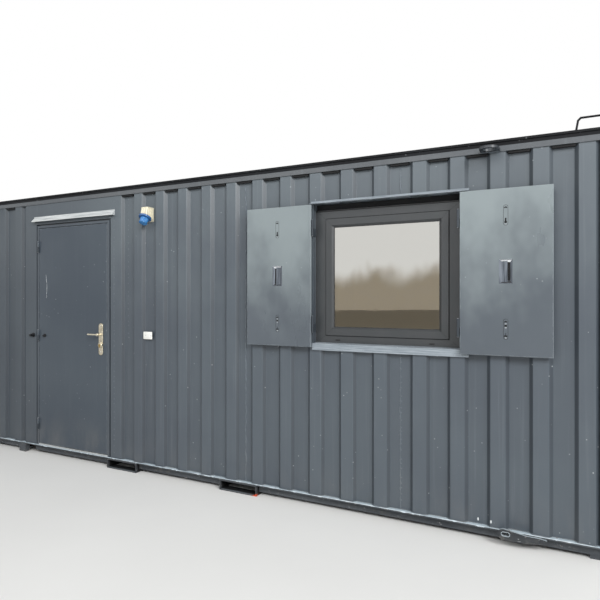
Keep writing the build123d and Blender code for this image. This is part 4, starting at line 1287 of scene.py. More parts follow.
def slot_finishes() -> dict[str, Material]:
    """Make the finish of every material slot.

    Returns:
        Materials by the record's slot names.
    """
    return made({
        # The wall's paint carries painted shade in recesses, bends and left end, and a painted sky sheen
        # above
        "wall_paint": SheetPaint(
            "wall_paint_slate", (74, 81, 89), (81, 89, 96), gloss=0.38, shine=0.45, dust=0.1,
            specks=0.75, shaded=0.1, crease_shade=0.45, sky_sheen=0.16, left_end_shade=0.5,
        ),
        # The last colour of the base rail paint is the painted sky sheen on its upward faces
        "base_paint": BaseRailPaint("base_paint_slate", (56, 60, 65), (80, 84, 88), (176, 190, 198)),
        "rail_paint": SheetPaint(
            "rail_paint_grey", (84, 88, 92), (94, 97, 100), dust=0.0, specks=0.3, waves=0.001
        ),
        "roof_edge": SheetPaint(
            "roof_edge_black", (14, 15, 18), (24, 26, 29), gloss=0.5, shine=0.15, runs=0.02, dust=0.0,
            dust_top=0.1, specks=0.3, waves=0.001,
        ),
        "roof_steel": BareSheet(
            "roof_steel_grey", (124, 127, 130), (106, 109, 113), metallic=0.2, gloss=0.8
        ),
        "joist_timber": Timber("joist_timber_sawn", (176, 140, 96), (128, 94, 60), (60.0, 3.0, 60.0)),
        "deck_board": Timber("deck_board_ply", (150, 118, 82), (116, 88, 60), (3.0, 40.0, 40.0)),
        "lining_board": MouldedPlastic(
            "lining_board_white", (206, 204, 196), (196, 193, 184), gloss=0.45, grain=200.0,
            depth=0.0001,
        ),
        "door_paint": EdgedPaint(
            "door_paint_slate", (64, 72, 81), (71, 79, 87), gloss=0.36, runs=0.04, dust=0.2,
            dust_top=0.5, middle_x=-1.2135, near_x=-0.4405, far_x=0.4405, low_z=0.106, high_z=2.125,
            wear=0.2,
        ),
        # The shutters' paint carries a strong painted sky sheen on its upper part
        "shutter_paint": EdgedPaint(
            "shutter_paint_slate", (78, 85, 92), (84, 91, 98), gloss=0.32, shine=0.5, runs=0.0,
            dust=0.0, specks=0.4, waves=0.004, sky_sheen=0.8, middle_x=1.731, near_x=0.51, far_x=1.035,
            low_z=1.130, high_z=2.127, wear=0.3, edge_tone=(140, 149, 154),
        ),
        "shutter_cup": CupSteel("shutter_cup_steel"),
        "aluminium_trim": BareSheet(
            "aluminium_trim_pale", (196, 199, 200), (182, 185, 186), metallic=0.35, gloss=0.4, rust=0.0,
            soiled=0.2,
        ),
        "window_plastic": MouldedPlastic(
            "window_plastic_grey", (57, 60, 62), (60, 62, 64), gloss=0.32, grain=500.0, depth=0.00003,
            dust=0.02,
        ),
        "window_pane": PaneGlass("window_pane_painted_reflection"),
        "handle_metal": WornMetal("handle_metal_champagne", (216, 208, 188), (188, 178, 154)),
        "lock_brass": WornMetal("lock_brass_worn", (190, 164, 112), (150, 128, 84)),
        "inlet_cream": MouldedPlastic(
            "inlet_cream_plastic", (226, 220, 196), (214, 206, 180), gloss=0.4
        ),
        "inlet_blue": MouldedPlastic("inlet_blue_plastic_shaded", (30, 78, 132), (44, 96, 152), gloss=0.26),
        "buffer_rubber": Rubber("buffer_rubber_black"),
    })


def node_finishes() -> dict[str, Material]:
    """Make the finishes of the nodes that look different from the rest of their slot.

    Returns:
        Materials by the nodes' names.
    """
    # Painted shade: the hinges darker than the panels they carry, as they sit in the shade of the reveal
    hinges = small_paint("hinge_paint_shaded", (50, 56, 62), (60, 66, 72), gloss=0.4, shine=0.3).make()
    shared = dict.fromkeys(("left_shutter_hinges", "right_shutter_hinges", "hinge_pins"), hinges)
    return shared | made({
        # The fork pockets' paint carries real rust and a red mark, and painted shade inside
        "fork_pockets": BaseRailPaint(
            "pocket_paint_rusty", (52, 55, 59), (66, 69, 72), (110, 116, 120), rust_from=(0.64, 0.72),
            rust=0.7, mark_at=0.745, mark=1.0, hollow_shade=0.95,
        ),
        "door_frame": SheetPaint(
            "door_frame_slate", (66, 73, 81), (76, 83, 90), gloss=0.38, shine=0.4, runs=0.05, dust=0.3,
            specks=0.4, waves=0.001,
        ),
        "window_drip_strips": BrushedPaint("strip_paint_brushed", (112, 121, 129), (154, 163, 170)),
        # Painted light: the canopy's pale tone stands for the sky light on its sloped top
        "door_canopy": BrushedPaint("canopy_paint_sky_lit", (176, 181, 182), (208, 211, 211), fine=90.0),
        # Painted shade: darker copies of the rail paint for the lugs, whose faces lie in shade
        "base_lugs": BaseRailPaint("lug_paint_shaded", (42, 45, 49), (60, 63, 66), (158, 168, 174)),
        "top_lugs": small_paint("top_lug_paint_shaded", (48, 52, 57), (62, 66, 70), gloss=0.32, shine=0.5),
    })


def extra_finishes() -> dict[Extra, Material]:
    """Make the finishes that only pieces wear.

    Returns:
        Materials by their keys.
    """
    return made({
        Extra.BEAD: SheetPaint(
            "seam_bead_slate", (82, 90, 98), (98, 106, 113), gloss=0.34, shine=0.5, runs=0.2, dust=0.3,
            dust_top=0.6, specks=0.6, waves=0.0,
        ),
        # Painted highlight: the pale paint of the ledge edge and the slot rims stands for light they catch
        Extra.PALE_PAINT: SheetPaint(
            "ledge_paint_highlight", (184, 198, 207), (210, 220, 226), gloss=0.4, shine=0.4, runs=0.0,
            dust=0.1,
        ),
        Extra.WORN_EDGE: MouldedPlastic(
            "bolt_end_worn", (128, 134, 138), (150, 155, 158), gloss=0.4, dust=0.1
        ),
        # Painted light: a lit copy of the inlet's blue for cup and lid; the flange keeps a darker shaded copy
        Extra.LID_BLUE: MouldedPlastic(
            "inlet_lid_blue_lit", (42, 106, 166), (62, 130, 190), gloss=0.24, dust=0.1
        ),
        Extra.SPATTER: MouldedPlastic(
            "paint_spatter_white", (214, 218, 219), (196, 201, 203), gloss=0.4, grain=200.0
        ),
        # Black for sealant and dark joints, and for painted shade in slots, pockets and recesses
        Extra.SEALANT: Rubber("black_sealant_and_shade", (12, 13, 15), (24, 25, 27), gloss=0.85),
        Extra.LABEL: MouldedPlastic(
            "label_white", (232, 232, 228), (220, 220, 214), gloss=0.35, dust=0.1
        ),
        Extra.BRIGHT_SCREW: WornMetal("screw_bright", (206, 208, 210), (170, 172, 174), gloss=0.3),
        Extra.DARK_IRON: WornMetal("bolt_dark", (70, 72, 76), (44, 46, 50), gloss=0.34),
    })


class Finishes:
    """Every finish of the cabin, made once.

    Attributes:
        by_slot: Finishes by the record's slot names.
        by_node: Finishes of the nodes that don't wear their slot's own.
        extras: Finishes that only pieces wear, and the rubber of the caps.
    """

    def __init__(self) -> None:
        """Make the materials."""
        self.by_slot = slot_finishes()
        self.by_node = node_finishes()
        self.extras = extra_finishes()
        self.extras[Extra.CAP_RUBBER] = self.by_slot["buffer_rubber"]

    def dress(self, nodes: dict[str, bpy.types.Object]) -> None:
        """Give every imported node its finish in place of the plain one.

        Args:
            nodes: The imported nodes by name.
        """
        for name, node in sorted(nodes.items()):
            for holder in node.material_slots:
                slot = holder.material.name.split(".")[0]
                holder.material = self.by_node.get(name, self.by_slot[slot])
            LOG.info("node %s dressed", name)


@dataclass
class SubAssembly:
    """One sub-assembly of the cabin, whose pieces wear the cabin's finishes.

    Attributes:
        finishes: The cabin's finishes.
    """

    finishes: Finishes

    def add(
        self,
        name: str,
        skin: Skin,
        slot: str,
        finish: Extra | None = None,
        body: Body = Body.CABIN,
        sharp: float = PLAIN_SHARP,
    ) -> bpy.types.Object:
        """Make a piece from a skin, with its faces turned outward.

        Args:
            name: Name of the piece.
            skin: Its closed skin, in place.
            slot: The record's material slot that it belongs to.
            finish: Its finish, where it isn't the slot's own.
            body: The body that it moves with.
            sharp: Angle in degrees past which an edge stays sharp.

        Returns:
            The object.
        """
        mesh = bpy.data.meshes.new(name)
        faces = skin.quads.tolist() + [cap.tolist() for cap in skin.caps]
        mesh.from_pydata(skin.points.tolist(), [], faces)
        sheet = bmesh.new()
        sheet.from_mesh(mesh)
        bmesh.ops.recalc_face_normals(sheet, faces=sheet.faces)
        sheet.to_mesh(mesh)
        sheet.free()
        mesh.shade_smooth()
        mesh.set_sharp_from_angle(angle=math.radians(sharp))
        mesh.materials.append(self.finishes.extras[finish] if finish else self.finishes.by_slot[slot])
        piece = bpy.data.objects.new(name, mesh)
        bpy.context.scene.collection.objects.link(piece)
        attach(piece, body.value)
        LOG.info("%s: %d faces on %s", name, len(mesh.polygons), body.value)
        return piece


def fluted_line(crests: Array, outward: float, proud: float, z: float) -> Array:
    """The line along a profiled wall, out over each crest and back along each recess.

    Formula: for each crest the points (x -+ half the foot, recess) and (x -+ half the face, crest), in
    order of x.

    Args:
        crests: Middle of each crest along X, from left to right.
        outward: -1 for the front wall, 1 for the rear wall.
        proud: How far the line stands off the sheet.
        z: Its height.

    Returns:
        Points as (4 x crests) x 3.
    """
    half_face = 0.042
    half_foot = 0.065
    steps = np.array([-half_foot, -half_face, half_face, half_foot])
    depth = np.array([RECESS_Y, CREST_Y, CREST_Y, RECESS_Y]) + proud
    x = (crests[:, None] + steps[None, :]).ravel()
    y = outward * np.tile(depth, len(crests))
    return points_at(x, y, z)


@dataclass
class WallSheets(SubAssembly):
    """Seams, dark recess strips of closure and painted shade, welds and paint spots of the profiled walls.

    Attributes:
        left_crests: Middles of the crests left of the door.
        right_crests: Middles of the crests right of the door sheet.
        door_recess: Middle of the recess beside the door sheet.
        pitch: Distance between the crests of the rear sheets.
        sheet: Width of one sheet.
        foot: Height of the sheets' foot.
        head: Height of their top.
        left_seam: Place along X of the bead between the sheets left of the window.
        right_seam: Place of the seam that the window breaks.
        seam_ends: Heights of the seams' foot and head.
        window_foot: Height where the seams stop under the window's sill.
        window_head: Height where they go on above its head strip.
    """

    left_crests: tuple[float, ...] = (-2.9184, -2.6792, -2.44, -2.2008, -1.9616)
    right_crests: tuple[float, ...] = (
        -0.4184, -0.1828, 0.0528, 0.2884, 0.5240,
        0.7596, 0.9988, 1.2380, 1.4772, 1.7164,
        1.9796, 2.2188, 2.4580, 2.6972, 2.9364,
    )
    door_recess: float = -0.5445
    pitch: float = 0.2392
    sheet: float = 1.22
    foot: float = 0.087
    head: float = 2.355
    left_seam: float = 0.645
    right_seam: float = 1.848
    seam_ends: tuple[float, float] = (0.092, 2.352)
    window_foot: float = 1.105
    window_head: float = 2.157

    def rear_crests(self) -> Array:
        """Return the middles of the rear wall's crests, five to a sheet."""
        middles = self.sheet * np.arange(-2, 3)
        return (middles[:, None] + self.pitch * np.arange(-2, 3)[None, :]).ravel()

    def front_recesses(self) -> Array:
        """Return the middles of the front wall's recesses."""
        left = np.array(self.left_crests)
        right = np.array(self.right_crests)
        gaps = ((left[1:] + left[:-1]) / 2, [self.door_recess], (right[1:] + right[:-1]) / 2)
        return np.concatenate(gaps)

    def seams(self) -> None:
        """Lay the uneven sealant seams between the sheets, broken where the window is."""
        low, high = self.seam_ends
        runs = (
            (self.left_seam, low, high, 0.0048, 3, 0.45, 0.0028),
            (self.right_seam, low, self.window_foot, 0.003, 5, 0.6, 0.0015),
            (self.right_seam, self.window_head, high, 0.003, 6, 0.6, 0.0015),
        )
        seams = []
        for x, foot, head, radius, seed, unevenness, sway in runs:
            ends = [(x, -RECESS_Y, foot), (x, -RECESS_Y, head)]
            seams.append(bead(ends, radius, seed, unevenness, 0.008, ALONG_X, (sway, 0.0, 0.0)))
        self.add("wall_seam_beads", Skin.joined(seams), "wall_paint", Extra.BEAD)

    def spots(self) -> None:
        """Set the rows of weld spots beside the door sheet and on the right seam."""
        head = dome(0.0048, 0.0024, 10).turned(FACE_FRONT)
        beside = self.right_seam + 0.006
        rows = (
            (-0.691, -CREST_Y, 0.12, 2.33, 0.05, 11),
            (-0.549, -RECESS_Y, 1.15, 2.33, 0.05, 12),
            (beside, -RECESS_Y, 0.12, self.window_foot, 0.04, 13),
            (beside, -RECESS_Y, self.window_head, 2.34, 0.04, 14),
        )
        places = [
            stitches((x, y, low), (x, y, high), spacing, seed)
            for x, y, low, high, spacing, seed in rows
        ]
        skin = head.at(np.concatenate(places))
        self.add("wall_weld_spots", skin, "wall_paint", Extra.BEAD, sharp=ROUND_SHARP)

    def closures(self) -> None:
        """Fill each recess top with a dark strip bevelled at its lower edge, partly closure, partly painted
        shade.
        """
        filler = plate(0.1245, 0.015, 0.0225, 0.003, 0.003)
        high = self.head - 0.0078
        crests = self.rear_crests()
        gaps = (crests[1:] + crests[:-1]) / 2
        # Painted shade: dark strips at the recess tops, partly foam closures and partly the shade under the
        # top rail
        front = filler.turned(FACE_FRONT).at(points_at(self.front_recesses(), -RECESS_Y, high))
        rear = filler.turned(FACE_REAR).at(points_at(gaps, RECESS_Y, high))
        self.add("recess_closure_shade", front.plus(rear), "buffer_rubber", Extra.SEALANT)

    def foot_welds(self) -> None:
        """Lay the weld along the foot of both long walls, following every crest and recess."""
        proud = 0.0015
        z = self.foot + 0.002
        rows = (
            (np.array(self.left_crests), -1.0, 21),
            (np.array(self.right_crests), -1.0, 22),
            (self.rear_crests(), 1.0, 23),
        )
        welds = [
            bead(fluted_line(crests, outward, proud, z), 0.0032, seed, 0.4, 0.012, ALONG_Z)
            for crests, outward, seed in rows
        ]
        self.add("wall_foot_welds", Skin.joined(welds), "base_paint", Extra.BEAD)

    def ledge_edge(self) -> None:
        """Lay the thick uneven paint along the outer edge of the base rail's ledge, pale as a painted
        highlight.
        """
        ends = [(-3.03, -1.216, 0.086), (3.03, -1.216, 0.086)]
        run = mirrored(bead(ends, 0.0033, 31, 0.4, 0.012, ALONG_Z, (0.0, 0.0, 0.0008)), across_x=False)
        self.add("ledge_edge_paint", run, "base_paint", Extra.PALE_PAINT)

    def paint_spots(self) -> None:
        """Set the few drops and spots of pale paint on the foot of the wall below the window."""
        tall = np.diag([1.0, 1.0, 2.1])
        big = dome(0.0048, 0.0008, 14).turned(FACE_FRONT).turned(tall)
        small = dome(0.0036, 0.0006, 12).turned(FACE_FRONT)
        drops = big.at([(2.344, -CREST_Y, 0.123), (2.419, -CREST_Y, 0.119)])
        dots = small.at([(2.502, -CREST_Y + 0.008, 0.132), (2.752, -RECESS_Y, 0.129)])
        self.add("wall_paint_spots", drops.plus(dots), "wall_paint", Extra.SPATTER, sharp=ROUND_SHARP)

    def build(self) -> None:
        """Build all of it."""
        self.seams()
        self.spots()
        self.closures()
        self.foot_welds()
        self.ledge_edge()
        self.paint_spots()


@dataclass
class RoofTrim(SubAssembly):
    """Rivets of the roof edge, screws of the roof seams and the welds of lugs and hoops.

    Attributes:
        band_y: Distance of the roof edge's face from the middle of the cabin.
        band_z: Height of the rivets on it.
        seams: Places of the roof's seams along X.
        ridge: Height of the screws' feet at the ridge.
        fall: How far the roof falls for a metre to its side.
        lug_x: Middle of the top lugs along X.
        lug_y: Distance of their root from the middle of the cabin.
        hoop_x: Middle of the hoops.
        hoop_half: Half the distance between a hoop's feet.
        hoop_y: Distance of the hoops from the middle of the cabin.
    """

    band_y: float = 1.2125
    band_z: float = 2.4075
    seams: tuple[float, ...] = (-1.83, -0.61, 0.61, 1.83)
    ridge: float = 2.4595
    fall: float = 0.0205
    lug_x: float = 2.417
    lug_y: float = 1.2125
    hoop_x: float = 2.955
    hoop_half: float = 0.075
    hoop_y: float = 1.2

    def rivets(self) -> None:
        """Set a row of low rivets along the front and rear faces of the roof edge."""
        places = points_at(np.linspace(-2.9, 2.9, 20), -self.band_y, self.band_z)
        rows = mirrored(dome(0.004, 0.0022, 10).turned(FACE_FRONT).at(places), across_x=False)
        self.add("roof_edge_rivets", rows, "roof_edge", Extra.DARK_IRON, sharp=ROUND_SHARP)

    def seam_screws(self) -> None:
        """Set round headed screws along each seam of the roof sheet.

        Formula: washer feet at height ridge - fall x |y|, for nine places y on each seam.
        """
        x, y = np.meshgrid(np.array(self.seams), np.linspace(-1.05, 1.05, 9), indexing="ij")
        places = points_at(x.ravel(), y.ravel(), self.ridge - self.fall * np.abs(y.ravel()))
        profile = [(0.0095, 0.0), (0.0095, 0.0014), (0.006, 0.0018), (0.0055, 0.0052), (0.003, 0.006)]
        washer = lathe(profile, 12)
        self.add("roof_seam_screws", washer.at(places), "roof_steel", Extra.BRIGHT_SCREW)

    def lug_welds(self) -> None:
        """Lay a weld above and below the root of each top lug."""
        ends = self.lug_x + np.array([-0.055, 0.055])
        over = bead(points_at(ends, -self.lug_y, 2.3745), 0.0042, 41, 0.3, 0.005, ALONG_Z)
        under = bead(points_at(ends, -self.lug_y, 2.3572), 0.0036, 42, 0.3, 0.005, ALONG_Z)
        self.add("top_lug_welds", mirrored(over.plus(under)), "rail_paint", Extra.BEAD)

    def hoop_feet(self) -> None:
        """Set a ring of weld round the foot of each hoop leg."""
        collar = lathe([(0.0115, 0.0), (0.0112, 0.002), (0.0092, 0.0042), (0.0066, 0.0062)], 16)
        reach = 0.985 * self.hoop_half
        feet = collar.at([(self.hoop_x + side * reach, -self.hoop_y, 2.425) for side in (-1, 1)])
        self.add("hoop_foot_welds", mirrored(feet), "roof_edge", sharp=ROUND_SHARP)

    def build(self) -> None:
        """Build all of it."""
        self.rivets()
        self.seam_screws()
        self.lug_welds()
        self.hoop_feet()


@dataclass
class BaseTrim(SubAssembly):
    """Pale rim round the slots of the base lugs, a painted highlight.

    Attributes:
        slot: Middle of the right front slot.
        width: Length of the slot.
        height: Height of the slot.
    """

    slot: Triple = (2.5085, -1.2598, 0.082)
    width: float = 0.046
    height: float = 0.022

    def build(self) -> None:
        """Lay the ring of pale paint, a painted highlight, round each slot."""
        loop = upright_loop(self.slot, self.width + 0.003, self.height + 0.003, 0.0125, 8)
        rim = swept(loop, round_section(0.0013, 6), up=ALONG_Y, closed=True)
        self.add("base_lug_slot_rims", mirrored(rim), "base_paint", Extra.PALE_PAINT, sharp=ROUND_SHARP)


@dataclass
class LabelPlate(SubAssembly):
    """The blank white plate on two spacers in a recess of the wall.

    Attributes:
        centre: Middle of the plate's back.
        width: Width of the plate.
        height: Height of the plate.
        thickness: Thickness of the plate.
    """

    centre: Triple = (-0.312, -1.2015, 1.160)
    width: float = 0.094
    height: float = 0.062
    thickness: float = 0.0022

    def build(self) -> None:
        """Build the plate, its spacers and its two screws."""
        x, y, z = self.centre
        sign = plate(self.width, self.height, self.thickness, 0.004, 0.0006)
        sign = sign.turned(FACE_FRONT).at([self.centre])
        self.add("label_plate", sign, "inlet_cream", Extra.LABEL)
        spacer = lathe([(0.007, 0.0), (0.007, 0.0202), (0.0062, 0.0208)], 14).turned(FACE_FRONT)
        holes = np.array([x - 0.024, x + 0.034])
        posts = spacer.at(points_at(holes, -RECESS_Y + 0.0002, z))
        self.add("label_spacers", posts, "handle_metal", Extra.DARK_IRON)
        heads = dome(0.0042, 0.0018).turned(FACE_FRONT).at(points_at(holes, y - self.thickness, z))
        self.add("label_screws", heads, "handle_metal", Extra.BRIGHT_SCREW, sharp=ROUND_SHARP)


@dataclass
class DoorSet(SubAssembly):
    """Seal, screws, hinge caps, lock parts, lever and scratch of the door.

    Attributes:
        leaf_front: Y of the leaf's front face.
        hinge_axis: X and Y of the hinge line.
        hinge_heights: Heights of the three barrels.
        half_barrel: Half the length of a barrel.
        lever: X, Y and Z of the front lever's hub.
        lever_length: Distance from the hub to the tip.
        leaf_middle: Y about which the two levers mirror each other.
        plate_front: Y of the handle plate's face.
    """

    leaf_front: float = -1.207
    hinge_axis: tuple[float, float] = (-1.6565, -1.217)
    hinge_heights: tuple[float, ...] = (0.289, 1.121, 1.953)
    half_barrel: float = 0.052
    lever: Triple = (-0.844, -1.253, 1.152)
    lever_length: float = 0.122
    leaf_middle: float = -1.1845
    plate_front: float = -1.216

    def seal(self) -> None:
        """Carry the rubber seal up one side of the door stop, along its head and down the other side."""
        y = -1.1586
        left, right, foot, head = -1.649, -0.778, 0.112, 2.119
        corners = [(left, y, foot), (left, y, head), (right, y, head), (right, y, foot)]
        cord = swept(resampled(corners, 0.01), round_section(0.0018), up=ALONG_Y)
        self.add("door_seal", cord, "buffer_rubber", sharp=ROUND_SHARP)

    def hinge_caps(self) -> None:
        """Close the top and foot of each hinge barrel with a low round cap."""
        caps = pin_caps(dome(0.0066, 0.0026), self.hinge_axis, self.hinge_heights, self.half_barrel)
        self.add("door_hinge_caps", caps, "handle_metal", Extra.BRIGHT_SCREW, Body.DOOR, sharp=ROUND_SHARP)

    def screws(self) -> None:
        """Set the screws of the handle plates and of the two buffers."""
        x, z = self.lever[0], self.lever[2]
        head = dome(0.0044, 0.0018).turned(FACE_FRONT)
        front = head.at([(x, self.plate_front, z + 0.075), (x, self.plate_front, z - 0.152)])
        self.add("plate_screws", front, "handle_metal", Extra.BRIGHT_SCREW, Body.DOOR, sharp=ROUND_SHARP)
        socket = lathe([(0.0058, 0.0), (0.0058, 0.0009), (0.0036, 0.0012), (0.003, 0.0004)], 14)
        socket = socket.turned(FACE_FRONT)
        moving = socket.at([(-1.5745, -1.231, 1.120)])
        fixed = socket.at([(-1.7385, -1.245, 1.120)])
        self.add("leaf_buffer_screw", moving, "handle_metal", Extra.DARK_IRON, Body.DOOR)
        self.add("wall_buffer_screw", fixed, "handle_metal", Extra.DARK_IRON)

    def lock_parts(self) -> None:
        """Set a black plate on the cylinder, painted shade for its keyway, and lay the lock's strip on the
        leaf's free edge.
        """
        x = self.lever[0]
        keyway = plate(0.0022, 0.0105, 0.0006, 0.001, 0.0002).turned(FACE_FRONT)
        keyway = keyway.at([(x, -1.2329, 1.0595)])
        self.add("cylinder_keyway", keyway, "lock_brass", Extra.SEALANT, Body.DOOR)
        strip = plate(0.019, 0.235, 0.001, 0.009, 0.0003).turned(FACE_RIGHT)
        strip = strip.at([(-0.773, self.leaf_middle, 1.11)])
        self.add("lock_edge_strip", strip, "handle_metal", Extra.BRIGHT_SCREW, Body.DOOR)

    def levers(self) -> None:
        """Turn the two levers: a hub on a stem and an arm whose oval section swells towards its tip.

        Formula: the arm's path runs from the hub to the tip along -X and bows out by 2 mm x sin(pi t). Its
        half height is 6.2 mm + 1.8 mm x t squared, closed by a quarter circle over the last 7 parts in 100.
        """
        x, y, z = self.lever
        start, bow, tip = 0.004, 0.002, 0.93
        closing = np.sin(np.linspace(0.15, 1.0, 8) * math.pi / 2)
        t = np.concatenate((np.linspace(0.0, tip, 26), tip + 0.07 * closing))
        reach = start + (self.lever_length - start) * t
        path = points_at(x - reach, y - bow * np.sin(math.pi * t), z)
        end = np.clip((t - tip) / 0.0702, 0.0, 1.0)
        half = (0.0062 + 0.0018 * t**2) * np.sqrt(np.clip(1 - end**2, 0.01, 1.0))
        arm = swept(path, round_section(1.0, 20) * np.array([0.85, 1.0]), half)
        profile = [
            (0.0075, 0.0), (0.0075, 0.026), (0.0095, 0.029), (0.0118, 0.033),
            (0.0124, 0.039), (0.0118, 0.0425), (0.009, 0.0448), (0.004, 0.0455),
        ]
        hub = lathe(profile, 28).turned(FACE_FRONT).at([(x, self.plate_front + 0.0005, z)])
        rose = lathe([(0.0135, 0.0), (0.0135, 0.0022), (0.0125, 0.0032), (0.008, 0.0034)], 28)
        rose = rose.turned(FACE_FRONT).at([(x, self.plate_front, z)])
        outside = arm.plus(hub, rose)
        inside = outside.turned(np.diag([1.0, -1.0, 1.0])).at([(0.0, 2 * self.leaf_middle, 0.0)])
        piece = self.add("lever_pair", outside.plus(inside), "handle_metal", body=Body.HANDLE, sharp=50.0)
        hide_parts("lever_handle")

    def canopy_rivets(self) -> None:
        """Set five rivets through the flange of the door's canopy."""
        places = points_at(np.linspace(-1.69, -0.718, 5), -1.208, 2.2332)
        row = dome(0.0034, 0.0018, 10).turned(FACE_FRONT).at(places)
        self.add("canopy_rivets", row, "aluminium_trim", Extra.BRIGHT_SCREW, sharp=ROUND_SHARP)

    def scratch(self) -> None:
        """Lay the long pale scratch on the leaf as an uneven thin line."""
        y = self.leaf_front - 0.0001
        corners = [(-1.561, y, 1.687), (-1.547, y, 1.575), (-1.554, y, 1.472)]
        line = bead(corners, 0.0009, 51, 0.6, 0.004, ALONG_Y, (0.0006, 0.0, 0.0))
        self.add("door_scratch", line, "door_paint", Extra.SPATTER, Body.DOOR)

    def build(self) -> None:
        """Build all of it."""
        self.seal()
        self.hinge_caps()
        self.screws()
        self.lock_parts()
        self.levers()
        self.canopy_rivets()
        self.scratch()


@dataclass
class WindowSet(SubAssembly):
    """Seals, mitre joints, drain caps and inner handle of the window.

    Attributes:
        middle: X and Z of the window's middle.
        frame: Outer width and height of the frame.
        sash: Outer width and height of the sash.
        glass: Width and height of the glass that shows.
        frame_y: Y of the frame's face.
        sash_y: Y of the sash's face.
        glass_y: Y of the glass's outer face.
    """

    middle: tuple[float, float] = (1.731, 1.620)
    frame: tuple[float, float] = (1.012, 0.934)
    sash: tuple[float, float] = (0.852, 0.814)
    glass: tuple[float, float] = (0.740, 0.702)
    frame_y: float = -1.160
    sash_y: float = -1.168
    glass_y: float = -1.153

    def ring(self, size: tuple[float, float], y: float, radius: float) -> Skin:
        """Carry a round cord round an upright rectangle.

        Formula: a circle of the radius along the loop of that size about the window's middle.

        Args:
            size: Width and height of the loop.
            y: Its place along Y.
            radius: Radius of the cord.

        Returns:
            The cord.
        """
        loop = upright_loop((self.middle[0], y, self.middle[1]), size[0], size[1], 0.006, 4)
        return swept(loop, round_section(radius), up=ALONG_Y, closed=True)

    def seals(self) -> None:
        """Lay the seal round the glass, the gasket between sash and frame, and a black cord round the frame.
        """
        bead_ring = self.ring((self.glass[0] - 0.003, self.glass[1] - 0.003), self.glass_y - 0.0008, 0.0034)
        gasket = self.ring((self.sash[0] + 0.003, self.sash[1] + 0.003), self.frame_y - 0.0006, 0.0024)
        # Painted shade: the cord round the frame is partly sealant, partly the shade of the reveal
        edge = self.ring((self.frame[0] + 0.001, self.frame[1] + 0.001), self.frame_y - 0.002, 0.0055)
        self.add("window_seals", bead_ring.plus(gasket, edge), "buffer_rubber", sharp=ROUND_SHARP)

    def corner_joints(self, outer: tuple[float, float], inner: tuple[float, float], y: float) -> Skin:
        """Draw the four mitre joints of a frame as hair lines.

        Formula: a thin line from each outer corner to the inner corner next to it.

        Args:
            outer: Outer width and height.
            inner: Inner width and height.
            y: Y of the face.

        Returns:
            The four lines.
        """
        x, z = self.middle
        section = round_section(0.0005, 6)
        lines = []
        for side, level in ((1, 1), (-1, 1), (-1, -1), (1, -1)):
            start = (x + side * (outer[0] / 2 - 0.001), y, z + level * (outer[1] / 2 - 0.001))
            end = (x + side * (inner[0] / 2 + 0.001), y, z + level * (inner[1] / 2 + 0.001))
            lines.append(swept(np.array([start, end]), section, up=ALONG_Y))
        return Skin.joined(lines)

    def mitres(self) -> None:
        """Draw the joints of frame and sash."""
        frame = self.corner_joints(self.frame, self.sash, self.frame_y)
        sash = self.corner_joints(self.sash, self.glass, self.sash_y)
        self.add("window_corner_joints", frame.plus(sash), "window_plastic", Extra.SEALANT)

    def head_filler(self) -> None:
        """Close the back of the slot over the window with a dark strip bevelled at its edges, painted shade.
        """
        strip = plate(self.frame[0] - 0.004, 0.042, 0.006, 0.002, 0.002).turned(FACE_FRONT)
        skin = strip.at([(self.middle[0], -1.1452, 2.110)])
        self.add("window_head_shade", skin, "buffer_rubber", Extra.SEALANT)

    def drain_caps(self) -> None:
        """Set the two drain caps on the lower bar of the frame."""
        cap = plate(0.034, 0.0095, 0.0038, 0.0045, 0.0016).turned(FACE_FRONT)
        caps = cap.at([(1.393, self.frame_y, 1.181), (2.051, self.frame_y, 1.179)])
        self.add("window_drain_caps", caps, "window_plastic", Extra.CAP_RUBBER)

    def inner_handle(self) -> None:
        """Set the turning handle on the room side of the sash.

        Formula: a round rose, a stem and a tapered arm that hangs down along -Z.
        """
        x, z = self.middle[0] + 0.398, self.middle[1]
        profile = [
            (0.016, 0.0), (0.016, 0.008), (0.013, 0.011),
            (0.009, 0.012), (0.009, 0.03), (0.006, 0.032),
        ]
        rose = lathe(profile, 20).turned(FACE_REAR).at([(x, -1.1142, z)])
        t = np.linspace(0.0, 1.0, 14)
        path = points_at(x, -1.087 + 0.004 * np.sin(math.pi * t), z - 0.105 * t)
        half = 0.0092 - 0.0026 * t
        half[-1] = 0.003
        arm = swept(path, round_section(1.0, 14) * np.array([1.0, 0.6]), half, ALONG_Y)
        self.add("window_inner_handle", rose.plus(arm), "handle_metal", sharp=50.0)

    def build(self) -> None:
        """Build all of it."""
        self.seals()
        self.mitres()
        self.head_filler()
        self.drain_caps()
        self.inner_handle()


